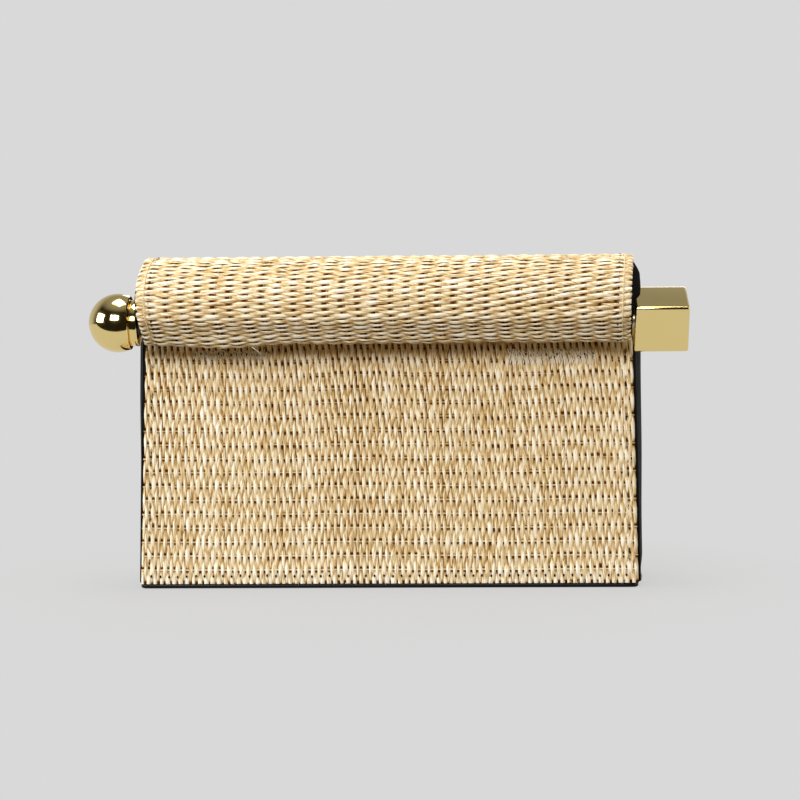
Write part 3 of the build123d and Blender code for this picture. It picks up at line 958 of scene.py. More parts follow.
    def side_face(self, edge: np.ndarray, depth: float, side: Side) -> np.ndarray:
        """Points on a leather side, at a distance in from its edge.

        Args:
            edge: Outline of the side.
            depth: Distance in from the outline.
            side: Left or right.

        Returns:
            Points shaped (count, 3).
        """
        size = self.sizes
        middle = (edge[:, 0].max() + edge[:, 0].min()) / 2
        spine = np.stack([np.full(len(edge), middle), np.clip(edge[:, 1], 26.0, 108.0)], -1)
        reach = np.linalg.norm(spine - edge, axis=1)[:, None]
        y, z = (edge + (spine - edge) * np.clip(depth / reach, 0, 1)).T
        front = size.front(z) + size.cloth / math.cos(size.lean)
        back = size.half_depth - size.cloth
        share = np.clip((y - front) / (back - front), 0, 1)
        foot = 0.55 + 0.45 * np.clip((z - size.base_leather) / 9.0, 0, 1)
        brow = np.clip((edge[:, 1].max() - z) / 8.0, 0, 1)
        foot = foot * np.sqrt(1 - (1 - brow) ** 2)
        bulge = (self.side_bulge + self.side_gain * z) * foot * (1 - (2 * share - 1) ** 2)
        bead = self.bead * math.sin(math.pi * min(depth, 1.9) / 1.9)
        groove = 0.26 * math.exp(-(((depth - 2.1) / 0.35) ** 2))
        ripple = 0.10 * np.sin(z / 9.0 + 2.0 * share + side.value) * np.sin(np.pi * share) * min(depth / 6, 1)
        tuck = 0.45 * (1 - np.clip((z - 15.0) / 60.0, 0, 1)) if side is Side.LEFT else 0.0
        out = size.half_width(z) - 0.05 + bulge + bead - groove + ripple - tuck
        return np.stack([side.value * out, y, z], -1)

    def leather_side(self, side: Side) -> None:
        """Padded leather side with a rolled edge, a sewn groove and a painted welt.

        Args:
            side: Left or right.
        """
        name = side.name.lower()
        edge = self.side_outline()
        depths = (0, 0.15, 0.4, 0.75, 1.1, 1.45, 1.75, 2.05, 2.4, 3, 4, 5.5, 8, 11, 15, 19, 23, 60)
        rings = [self.side_face(edge, depth, side) for depth in depths]
        rings.insert(0, rings[0] - (side.value * 2.7, 0, 0))
        form = Form()
        form.grid(np.stack(rings if side is Side.RIGHT else rings[::-1])[None], closed=True)
        piece = form.piece(f"{name}_leather_side", self.finishes.side_leather)
        settle(piece, Body.BOX, Slot.LEATHER, f"{name}_gusset")
        welt = Form()
        crest = self.side_face(edge, 0.95, side) + (side.value * 0.12, 0, 0)
        welt.tube(np.concatenate([crest, crest[:1]]), 0.32)
        settle(welt.piece(f"{name}_painted_welt", self.finishes.edge_paint), Body.BOX, Slot.LEATHER)
        seam = even_loop(np.concatenate([edge, edge], axis=1), 130)[:, :2]
        sewn = self.side_face(seam, 2.1, side) + (side.value * 0.10, 0, 0)
        ahead = np.roll(sewn, -1, axis=0)
        thread = Form()
        thread.capsules(sewn + (ahead - sewn) * 0.12, sewn + (ahead - sewn) * 0.84, 0.24)
        settle(thread.piece(f"{name}_side_stitches", self.finishes.dark_thread), Body.BOX, None)

    def leather_base(self) -> None:
        """Base of stout leather with burnished edges."""
        size = self.sizes
        form, rings = Form(), []
        for inset, z in (
            (24.0, 0.0), (3.0, 0.0), (1.2, 0.0), (0.5, 0.06), (0.15, 0.25), (0.0, 0.6),
            (0.0, 1.2), (0.12, 1.6), (0.4, 1.8), (3.0, 1.8), (24.0, 1.8),
        ):
            reach, corner = size.half_depth - inset, max(2.5 - inset, 0.5)
            ring = rounded_ring(size.base_width / 2 - inset, -reach, reach, corner, 200)
            rings.append(np.concatenate([ring, np.full((200, 1), z)], axis=1))
        form.grid(np.stack(rings)[None], closed=True)
        settle(form.piece("leather_base", self.finishes.edge_paint), Body.BOX, Slot.LEATHER, "base_panel")

    def build(self) -> None:
        """Make every piece of the box."""
        self.woven_front()
        self.front_sewing()
        self.woven_back()
        for side in Side:
            self.leather_side(side)
        self.leather_base()


@dataclass
class Interior:
    """Inside of the box: leather lining, slip pocket, faced mouth and the soft strip in the fold."""

    sizes: BagSizes
    finishes: Finishes
    profile: RollProfile
    floor: float = 4.6
    pocket_width: float = 110.0
    pocket_height: float = 62.0
    pocket_floor: float = 46.0
    pocket_corner: float = 8.0
    side_wall: float = 3.0
    back_wall: float = 20.9
    stitch_pitch: float = 3.2
    fold_leg: float = 8.0
    fold_tuck: float = 0.085
    fold_tip: float = 0.75

    def stitch_row(self, form: Form, path: np.ndarray) -> None:
        """Sew a row of even stitches along a path.

        Args:
            form: Form that takes the stitches.
            path: Points that the row follows.
        """
        steps = np.concatenate([[0], np.cumsum(np.linalg.norm(np.diff(path, axis=0), axis=1))])
        starts = np.arange(0, steps[-1] - self.stitch_pitch, self.stitch_pitch)
        ends = (0.3, 0.8 * self.stitch_pitch)
        spot = [np.stack([np.interp(starts + k, steps, v) for v in path.T], -1) for k in ends]
        form.capsules(spot[0], spot[1], 0.22)

    def lining(self) -> None:
        """Soft lining of floor and walls, slightly puckered, turned out at its mouth."""
        size = self.sizes

        def front(z: np.ndarray | float) -> np.ndarray | float:
            """Y of the front lining at a height."""
            return size.front(z) + size.wall + size.liner

        def half(z: np.ndarray | float) -> np.ndarray | float:
            """Half the inner width at a height."""
            return size.half_width(z) - self.side_wall

        ring = rounded_ring(half(60.0), front(60.0), self.back_wall, 2.0, 260)
        across = ring[:, 0] / half(60.0)
        depth = (ring[:, 1] - front(60.0)) / (self.back_wall - front(60.0))
        mouth_y = front(118.0) + depth * (self.back_wall - front(118.0))
        roof = self.profile.under_roof(mouth_y, self.profile.roof_thickness + 1.0)
        lift = np.clip((mouth_y - mouth_y.min()) / 9.0, 0, 1)
        mouth = size.rim - 0.8 + (roof - size.rim + 0.8) * np.sqrt(1 - (1 - lift) ** 2)
        rings = []
        for scale, z in ((0.02, 4.6), (0.45, 4.62), (0.8, 4.6), (0.95, 4.62), (0.988, 4.9)):
            y = front(z) + (0.5 + (depth - 0.5) * scale) * (self.back_wall - front(z))
            rings.append(np.stack([across * half(z) * scale, y, np.full(len(ring), z)], -1))
        around = np.linspace(0, 2 * np.pi, len(ring), endpoint=False)
        for share in np.linspace(0.012, 1.0, 28):
            z = self.floor + share * (mouth - self.floor)
            pucker = 0.22 * np.sin(17 * around + 5 * share) * np.sin(23 * share + 3 * around) * (1 - share)
            y = front(z) + depth * (self.back_wall - front(z))
            inward = 1 - pucker / 60
            rings.append(np.stack([across * half(z) * inward, y + pucker * np.sign(0.5 - depth) * 0.5, z], -1))
        middle = depth - 0.5
        out = np.stack([np.sign(across) * (np.abs(across) > 0.98), np.sign(middle) * (np.abs(middle) > 0.48)], -1)
        lip = rings[-1].copy()
        lip[:, :2] += 0.9 * out
        lip[:, 2] += 0.25
        rings.append(lip)
        form = Form()
        form.grid(np.stack(rings)[None], closed=True)
        piece = form.piece("leather_lining", self.finishes.lining_leather)
        settle(piece, Body.BOX, Slot.LINING, "lining")

    def facing(self) -> None:
        """Leather folded over the mouth's front edge, with sewn edges and the magnets' round marks."""
        size = self.sizes
        path = np.array(
            [(0.6, 108.95), (0.1, 109.0), (-0.05, 109.35), *((0.0, z) for z in np.arange(110.0, 117.6, 0.7)),
             (0.12, 118.1), (0.5, 118.6), (1.3, 118.95), (2.45, 119.05), (3.6, 118.95), (4.5, 118.6), (4.85, 118.0),
             *((4.93, z) for z in np.arange(117.0, 109.9, -1.2)), (4.98, 109.5), (4.7, 109.1), (4.2, 109.0)]
        )
        share = np.linspace(-1, 1, 260)
        off, z = path[:, 0, None], path[:, 1, None] + 0 * share
        width = size.half_width(z) - self.side_wall * np.clip((off - 1.5) / 1.5, 0, 1)
        x = share * width
        bump = size.magnet_mark(x, z)
        y = size.front(z) + off - 0.22 * bump * (off < 1) + 0.04 * np.sin(x / 7.0) * np.sin(z)
        form = Form()
        form.grid(np.stack([x, y, z], -1)[None])
        piece = form.piece("leather_mouth_facing", self.finishes.lining_leather)
        settle(piece, Body.BOX, Slot.LINING, "mouth_facing")
        thread = Form()
        x = np.linspace(-96.0, 96.0, 200)
        for off, z, reach in ((-0.12, 110.4, 1.0), (5.05, 110.4, 0.965)):
            self.stitch_row(thread, np.stack([x * reach, np.full(200, size.front(z) + off), np.full(200, z)], -1))
        settle(thread.piece("mouth_stitches", self.finishes.dark_thread), Body.BOX, None)

    def pocket(self) -> None:
        """Slip pocket on the back lining, with a bowed mouth and sewn edges."""
        up = np.concatenate([[0.0, 0.25, 0.7, 1.4, 2.2], np.linspace(3.2, self.pocket_height - 0.6, 26)])
        bend = np.clip(self.pocket_corner - up, 0, self.pocket_corner)
        half = self.pocket_width / 2 - self.pocket_corner + np.sqrt(self.pocket_corner**2 - bend**2)
        sewn = np.array([0.96, 0.975, 0.988, 0.996, 1.0])
        share = np.concatenate([-sewn[::-1], np.linspace(-0.94, 0.94, 60), sewn])
        x = half[:, None] * share
        rim = np.minimum(half[:, None] - np.abs(x), up[:, None])
        puff = np.clip(rim / 0.5, 0, 1) * 0.9 + 1.1 * np.clip((rim - 2.6) / 2.0, 0, 1)
        puff = puff - 0.22 * np.exp(-(((rim - 1.5) / 0.4) ** 2))
        slack = 1.3 * (up / self.pocket_height)[:, None] ** 3 * np.clip(1 - (x / half[:, None]) ** 2, 0, 1)
        out = puff + slack
        dip = 1.2 * (up / self.pocket_height)[:, None] ** 6 * np.clip(1 - share**2, 0, 1)
        z = self.pocket_floor + up[:, None] - dip
        rows = [np.stack([x, self.back_wall - out, z + 0 * x], -1)]
        last = rows[0][-1]
        for drop, back in ((-0.35, 0.3), (-0.2, 0.75), (2.5, 0.9), (6.0, 0.95)):
            rows.append((last + (0, back, -drop))[None])
        form = Form()
        form.grid(np.concatenate(rows)[None])
        piece = form.piece("leather_slip_pocket", self.finishes.lining_leather)
        settle(piece, Body.BOX, Slot.LINING, "slip_pocket")
        loop, inset = [], 1.5
        reach, radius = self.pocket_width / 2 - inset, self.pocket_corner - inset
        loop += [(-reach, z) for z in np.linspace(self.pocket_height - 2, self.pocket_corner, 20)]
        for start, sign in ((180, -1), (270, 1)):
            for turn in np.radians(np.linspace(start, start + 90, 8)):
                x = sign * (reach - radius) + radius * math.cos(turn)
                loop.append((x, self.pocket_corner + radius * math.sin(turn)))
        loop += [(reach, z) for z in np.linspace(self.pocket_corner, self.pocket_height - 2, 20)]
        path = np.array([(x, self.back_wall - 0.85, self.pocket_floor + z) for x, z in loop])
        thread = Form()
        self.stitch_row(thread, path)
        settle(thread.piece("pocket_stitches", self.finishes.dark_thread), Body.BOX, None)

    def fold_strip(self) -> None:
        """Soft leather strip in the fold, tucked into its mitre."""
        size = self.sizes
        wall, leg, tuck = self.back_wall - 0.3, self.fold_leg, self.fold_tuck
        hinge = np.array([size.hinge_y, size.hinge_z])

        def roof(y: float) -> float:
            """Height of the strip under the roof."""
            return float(self.profile.under_roof(y, self.profile.roof_thickness + 0.15))

        top = size.hinge_z - (size.hinge_y - wall)
        path = [(wall + 0.25, top - leg), (wall, top - leg + 0.3)]
        path += [(wall, z) for z in np.linspace(top - leg + 1, top - 0.3, 6)]
        path += [tuple(hinge - t + (tuck, -tuck)) for t in np.linspace(4.2, 0.95, 8)]
        path += [tuple(hinge - self.fold_tip)]
        path += [tuple(hinge - t + (-tuck, tuck)) for t in np.linspace(0.95, 3.6, 8)]
        path += [(y, roof(y)) for y in np.linspace(wall, wall - leg + 0.3, 8)]
        path.append((wall - leg, roof(wall - leg) + 0.12))
        spots = np.array(path)
        inner = size.half_width(124.0) - self.side_wall - 0.2
        reach = np.where((np.arange(len(spots)) > 7) & (np.arange(len(spots)) < 25), inner + 2.4, inner)
        x = np.linspace(-1, 1, 120) * reach[:, None]
        y = spots[:, 0, None] + 0 * x
        form = Form()
        form.grid(np.stack([x, y, np.broadcast_to(spots[:, 1, None], y.shape)], -1)[None])
        strip = form.piece("leather_fold_strip", self.finishes.lining_leather)
        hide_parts("hinge_fold")
        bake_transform(strip)
        LOG.info("%s bends between box and flap", strip.name)

    def build(self) -> None:
        """Make every piece of the inside."""
        self.lining()
        self.facing()
        self.pocket()
        self.fold_strip()


@dataclass
class RollFlap:
    """Flap of the bag: woven skin over the roof and round the padded roll, with leather ends."""

    sizes: BagSizes
    finishes: Finishes
    profile: RollProfile
    border: float = 3.2
    sag: float = 1.5
    block_sweep: float = 14.3
    end_face_left: float = -98.0
    left_swell: float = 0.9
    end_face_right: float = 97.2
    end_bulge: float = 2.9
    left_edge: tuple[tuple[float, float], ...] = (
        (0, -98.2), (36, -97.9), (46, -96.7), (52, -95.9), (56.5, -96.2), (60.8, -96.7), (65, -97.3), (70, -97.8),
        (77, -98.0), (82.5, -97.6), (87, -97.0), (93, -96.7), (98, -96.3), (103, -96.3), (110, -97.2), (119.5, -97.8),
    )
    right_edge: tuple[tuple[float, float], ...] = (
        (0, 97.4), (36, 98.0), (50, 98.2), (54, 97.9), (58.6, 97.6), (65, 97.1), (72, 96.6), (79, 96.2), (85, 96.1),
        (91, 96.3), (97, 96.6), (103, 96.9), (110, 96.7), (119.5, 96.4),
    )

    def span(self, s: np.ndarray) -> tuple[np.ndarray, np.ndarray]:
        """Left and right ends of the cloth at distances from the fold."""
        left, right = np.array(self.left_edge), np.array(self.right_edge)
        return np.interp(s, left[:, 0], left[:, 1]), np.interp(s, right[:, 0], right[:, 1])

    def place(self, low: float, high: float, proud: float) -> Place:
        """Mapping of a patch onto the flap.

        Args:
            low: Share of the flap's width at which the patch starts.
            high: Share at which it ends.
            proud: Distance that it stands off the face.

        Returns:
            Function from distances along, across and out to points.
        """
        width = self.sizes.flap_right - self.sizes.flap_left
        length = (high - low) * width

        def place(a: np.ndarray, c: np.ndarray, h: np.ndarray) -> np.ndarray:
            left, right = self.span(c)
            share = low + (high - low) * a / length
            x = left + share * (right - left)
            edge = np.minimum(share, 1 - share) * width
            out = h + proud - 0.45 - 0.7 * np.clip(1 - edge / 1.4, 0, 1) ** 2
            out = out - 0.28 * np.exp(-(((edge - self.border) / 0.4) ** 2))
            y, z, out_y, out_z = self.profile.at(np.maximum(c, 0.15 - 0.9 * out))
            hang = np.exp(-(((c - 101.0) / 7.0) ** 2))
            droop = 0.5 + self.sag * np.exp(-(((x + 66.0) / 18.0) ** 2)) + 0.25 * np.sin(x / 8.5) * np.sin(x / 23.0)
            return np.stack([x, y + out_y * out, z + out_z * out - hang * droop], -1)

        return place

    def woven_skin(self) -> None:
        """Woven skin with level strands and a turned border at each end."""
        width = self.sizes.flap_right - self.sizes.flap_left
        form = Form()

        def lean(a: np.ndarray, c: np.ndarray) -> np.ndarray:
            """Sideways swing of the strands, which grows toward the right on the roll's front."""
            return 0.08 + 0.26 * np.clip(1.4 * a / width - 0.25, 0, 1) * np.exp(-(((c - 75.0) / 15.0) ** 2))

        Weave(
            width,
            self.profile.length,
            self.place(0.0, 1.0, 0.0),
            seed=21,
            strand_pitch=1.28,
            warp_pitch=6.3,
            tone=0.60,
            warp_tone=(0.34, 0.34),
            lean=lean,
        ).into(form)
        skin = form.piece("woven_flap", self.finishes.raffia)
        settle(skin, Body.FLAP, Slot.RAFFIA, "flap_raffia")

    def end_sewing(self) -> None:
        """Pale thread, needle holes and frayed fibres along each end of the skin."""
        width = self.sizes.flap_right - self.sizes.flap_left
        rng = np.random.default_rng(24)
        place = self.place(0.0, 1.0, 0.0)
        marks, thread, fray = Form(), Form(), Form()
        for inward, pitch in ((1, 2.3), (-1, 3.2)):
            edge = 0.0 if inward > 0 else width
            s = np.arange(3.0, self.profile.length - 2.0, pitch)
            across = edge + inward * (5.2 + rng.normal(0, 0.08, s.size))
            spots = np.stack([across, s + rng.normal(0, 0.15, s.size)], -1)
            marks.holes(place, spots, (0.85, 0.8), 0.42)
            s = np.arange(1.5, self.profile.length - 1.5, 1.25)
            starts = place(np.full(s.size, edge + inward * 3.45), s, np.full(s.size, 0.42))
            stops = place(np.full(s.size, edge + inward * 3.15), s + 1.35, np.full(s.size, 0.42))
            thread.capsules(starts, stops, 0.26)
            s = rng.uniform(2, self.profile.length - 2, 90)
            starts = place(np.full(90, edge + inward * 0.9), s, np.full(90, 0.35))
            tips = place(edge - inward * rng.uniform(-0.2, 0.5, 90), s + rng.normal(0, 0.8, 90), np.full(90, 0.1))
            fray.capsules(starts, tips, 0.11, 0.75)
        bend = np.linspace(0, 1, 12)
        y, z = -29.5 - 1.5 * np.sin(np.pi * bend), 97.4 - 2.2 * bend - 0.8 * bend**2
        loop = np.stack([-54.0 + 4.0 * bend, y, z], -1)
        fray.tube(loop, 0.13, 0.95)
        settle(marks.piece("flap_needle_holes", self.finishes.hole), Body.FLAP, None)
        settle(thread.piece("flap_border_thread", self.finishes.thread), Body.FLAP, None)
        settle(fray.piece("flap_frayed_ends", self.finishes.raffia), Body.FLAP, Slot.RAFFIA)

    def end_outline(self, inset: float) -> np.ndarray:
        """Outline of the roll's section.

        Args:
            inset: Distance in from the cloth's face.

        Returns:
            Y, Z, distance from the fold, and 1 on the cloth or 0 on the wall behind it.
        """
        s = np.linspace(37.0, self.profile.length, 150)
        y, z, out_y, out_z = self.profile.at(s)
        cloth = np.stack([y - inset * out_y, z - inset * out_z, s, np.ones_like(s)], -1)
        share = np.linspace(0, 1, 24)[1:-1, None]
        wall = cloth[-1] + (cloth[0] - cloth[-1]) * share
        wall[:, 3] = 0.0
        return even_loop(np.concatenate([cloth, wall]), 200)

    def roll_end(self, side: Side) -> None:
        """Leather that closes one end of the roll and swells out past the block's sweep.

        Args:
            side: Left or right.
        """
        size = self.sizes
        edge = self.end_outline(1.45)
        bar = np.array([size.bar_y, size.bar_z])
        away = edge[:, :2] - bar
        far = np.linalg.norm(away, axis=1)
        hole = bar + 4.4 * away / far[:, None]
        reach = np.linalg.norm(edge[:, :2] - hole, axis=1)
        rim = self.span(edge[:, 2])[0 if side is Side.LEFT else 1] - side.value * 0.2
        face = self.end_face_left if side is Side.LEFT else self.end_face_right
        front = np.exp(-(((edge[:, 2] - 79.0) / 11.0) ** 4)) * edge[:, 3]
        room = np.clip(far - self.block_sweep, 0.3, 6.0)
        start = np.clip((edge[:, 2] - 50.0) / 13.0, 0, 1)
        start = start * start * (3 - 2 * start)
        swell = np.minimum(self.end_bulge, 1.25 * room) * edge[:, 3] * start * (edge[:, 2] < 100)
        rings = []
        for depth in (0, 0.0, 0.3, 0.7, 1.2, 1.8, 2.6, 3.6, 4.8, 6.2, 8.2, 11.0, 60.0, 60.0):
            spot = edge[:, :2] + (hole - edge[:, :2]) * np.clip(depth / reach, 0, 1)[:, None]
            ease = 1 - (1 - min(depth / 2.6, 1)) ** 2
            if side is Side.LEFT:
                settled = np.clip((depth - 5.0) / 5.0, 0, 1)
                round_off = math.sin(math.pi * min(depth / 5.0, 1)) ** 0.6
                x = rim + (face - rim) * settled - self.left_swell * front * round_off
            else:
                x = rim + (face - rim) * ease + swell * np.sin(np.pi * np.clip(depth / room, 0, 1)) ** 0.7
            rings.append(np.stack([x, spot[:, 0], spot[:, 1]], -1))
        rings[0] = rings[0] - (side.value * 1.2, 0, 0)
        rings[-1] = rings[-1] - (side.value * 1.2, 0, 0)
        name = side.name.lower()
        form = Form()
        form.grid(np.stack(rings if side is Side.RIGHT else rings[::-1])[None], closed=True)
        piece = form.piece(f"{name}_leather_end", self.finishes.side_leather)
        settle(piece, Body.FLAP, Slot.LEATHER, f"{name}_roll_end")

    def foam_core(self) -> None:
        """Foam that fills the roll, under the skin."""
        edge = self.end_outline(2.0)
        left, right = self.span(edge[:, 2])
        rings = [
            np.stack([left + 0.8 + share * (right - left - 1.6), edge[:, 0], edge[:, 1]], -1)
            for share in np.linspace(0, 1, 12)
        ]
        form = Form()
        form.grid(np.stack(rings)[None], closed=True)
        piece = form.piece("foam_roll_core", self.finishes.foam)
        settle(piece, Body.FLAP, None, "roll_core")

    def underlining(self) -> None:
        """Leather under the roof and down the back of the roll, with sewn edges and round magnet marks."""
        size = self.sizes
        depth = self.profile.roof_thickness + 0.03

        def wall(z: float) -> float:
            """Y of the lining behind the roll at a height."""
            return size.front(z) - self.profile.panel_clearance / math.cos(size.lean)

        foot = float(self.profile.spots[-1][1]) + 0.6
        top = float(self.profile.under_roof(wall(129.0), depth))
        corner = np.array([wall(top), top])
        run = np.linspace(size.hinge_y - 3.4, corner[0] + 3.0, 26)
        roof = [(y, float(self.profile.under_roof(y, depth))) for y in run]
        lead, tail = np.array(roof[-1]), np.array([wall(top - 3.0), top - 3.0])
        turn = [(1 - t) ** 2 * lead + 2 * t * (1 - t) * corner + t * t * tail for t in np.linspace(0.12, 0.9, 7)]
        path = np.array([*roof, *turn, *((wall(z), z) for z in np.linspace(top - 3.2, foot, 30))])
        way = np.gradient(path, axis=0)
        way /= np.linalg.norm(way, axis=1, keepdims=True)
        normal = np.stack([-way[:, 1], way[:, 0]], -1)
        share = np.concatenate([[0, 0.0015, 0.004], np.linspace(0.01, 0.99, 240), [0.996, 0.9985, 1.0]])
        x = size.flap_left + 0.3 + share * (size.flap_right - size.flap_left - 0.6)
        z = path[:, 1, None] + 0 * x
        on_wall = (np.arange(len(path)) > 33)[:, None]
        bump = size.magnet_mark(x, z)
        edge = np.minimum(share, 1 - share) * (size.flap_right - size.flap_left)
        turned = 0.5 * np.clip(1 - edge / 0.8, 0, 1) ** 2
        lift = 0.2 * bump * on_wall + 0.05 * np.sin(x / 6.0) * np.sin(z / 2.0) - turned
        y = path[:, 0, None] + normal[:, 0, None] * lift
        form = Form()
        form.grid(np.stack([np.broadcast_to(x, y.shape), y, z + normal[:, 1, None] * lift], -1)[None])
        piece = form.piece("leather_flap_lining", self.finishes.lining_leather)
        settle(piece, Body.FLAP, Slot.LINING, "flap_lining")
        thread = Form()
        sewn = path + normal * 0.10
        for at in (size.flap_left + 3.0, size.flap_right - 3.0):
            Interior(size, self.finishes, self.profile).stitch_row(
                thread, np.stack([np.full(len(path), at), sewn[:, 0], sewn[:, 1]], -1)
            )
        settle(thread.piece("flap_lining_stitches", self.finishes.dark_thread), Body.FLAP, None)

    def edge_binding(self, side: Side) -> None:
        """Painted edge that closes the roof's layers at one end.

        Args:
            side: Left or right.
        """
        s = np.linspace(0.6, 40.0, 60)
        y, z, out_y, out_z = self.profile.at(s)
        end = self.span(s)[0 if side is Side.LEFT else 1]
        rows = []
        for inward, out in ((0.9, -0.95), (0.25, -1.05), (0.05, -1.35), (0.05, -2.9), (0.25, -3.25), (1.5, -3.36)):
            rows.append(np.stack([end - side.value * inward, y + out_y * out, z + out_z * out], -1))
        form = Form()
        form.grid(np.stack(rows if side is Side.LEFT else rows[::-1])[None])
        name = f"{side.name.lower()}_edge_binding"
        settle(form.piece(name, self.finishes.edge_paint), Body.FLAP, Slot.LEATHER)

    def build(self) -> None:
        """Make every piece of the flap."""
        self.woven_skin()
        self.end_sewing()
        self.foam_core()
        self.underlining()
        for side in Side:
            self.roll_end(side)
            self.edge_binding(side)


@dataclass
class GiltBar:
    """Bar with its polished ball, collar and square block."""

    sizes: BagSizes
    finishes: Finishes
    ball_radius: float = 11.7
    ball_x: float = -106.9
    ball_flat: float = -101.8
    collar_radius: float = 9.3
    collar_right: float = -98.4
    block_left: float = 97.9
    block_right: float = 119.1
    block_side: float = 19.5
    block_turn: float = math.radians(25.6)
    block_edge: float = 1.0
    block_flat_step: float = 0.2
    block_flat_corner: float = 0.04

    def turned(self, name: str, outline: Sequence[tuple[float, float]]) -> bpy.types.Object:
        """Piece turned on the bar's axis.

        Args:
            name: Piece name.
            outline: Places along the bar and radii, from left to right.

        Returns:
            The turned piece.
        """
        turn = np.linspace(0, 2 * np.pi, 129)[:-1]
        spot = np.array(outline)
        y = self.sizes.bar_y + spot[:, 1, None] * np.cos(turn)
        z = self.sizes.bar_z + spot[:, 1, None] * np.sin(turn)
        form = Form()
        form.grid(np.stack([np.broadcast_to(spot[:, 0, None], y.shape), y, z], -1)[None], closed=True)
        return form.piece(name, self.finishes.gold)

    def ball(self) -> None:
        """Polished ball, cut flat where it meets the collar."""
        stop = math.acos((self.ball_flat - self.ball_x) / self.ball_radius)
        turns = np.linspace(math.pi - 0.002, stop, 60)
        outline = [(self.ball_x + self.ball_radius * math.cos(t), self.ball_radius * math.sin(t)) for t in turns]
        outline += [(self.ball_flat + 0.02, outline[-1][1] - 0.35), (self.ball_flat + 0.02, 4.1)]
        settle(self.turned("gilt_ball", outline), Body.BAR, Slot.GOLD, "ball")

    def collar(self) -> None:
        """Low collar between the ball and the roll."""
        low, high, radius = self.ball_flat, self.collar_right, self.collar_radius
        outline = [(low, 4.1), (low, radius - 0.5), (low + 0.15, radius - 0.12), (low + 0.4, radius)]
        outline += [(high - 0.4, radius), (high - 0.15, radius - 0.12), (high, radius - 0.4), (high, 4.1)]
        settle(self.turned("gilt_collar", outline), Body.BAR, Slot.GOLD, "ball_collar")

    def block(self) -> None:
        """Square block turned on the bar, with rounded edges."""
        half, edge = self.block_side / 2, self.block_edge
        turn = np.radians(np.concatenate([np.linspace(90 * k, 90 * k + 90, 9) for k in range(4)]))
        sign = np.repeat(np.array([(1, 1), (-1, 1), (-1, -1), (1, -1)]), 9, axis=0)
        way = np.stack([np.cos(turn), np.sin(turn)], -1)
        bend = np.radians(np.linspace(0, 90, 7))
        curve = [(edge * (1 - math.sin(t)), edge * math.cos(t)) for t in bend]
        steps = [(self.block_left + x, reach) for x, reach in curve]
        steps += [(self.block_right - x, reach) for x, reach in curve]
        rings = []
        near = [(self.block_left, edge - half), (self.block_left, -self.block_flat_step)]
        far = [(self.block_right, -self.block_flat_step), (self.block_right, edge - half)]
        for x, reach in [*near, *sorted(steps), *far]:
            spot = sign * (half - edge + min(reach, 0.0)) + way * max(reach, self.block_flat_corner)
            y = spot[:, 0] * math.cos(self.block_turn) - spot[:, 1] * math.sin(self.block_turn)
            z = spot[:, 0] * math.sin(self.block_turn) + spot[:, 1] * math.cos(self.block_turn)
            rings.append(np.stack([np.full(36, x), self.sizes.bar_y + y, self.sizes.bar_z + z], -1))
        form = Form()
        form.grid(np.stack(rings)[None], closed=True)
        settle(form.piece("gilt_block", self.finishes.gold), Body.BAR, Slot.GOLD, "block")

    def build(self) -> None:
        """Make every piece of the bar."""
        self.ball()
        self.collar()
        self.block()


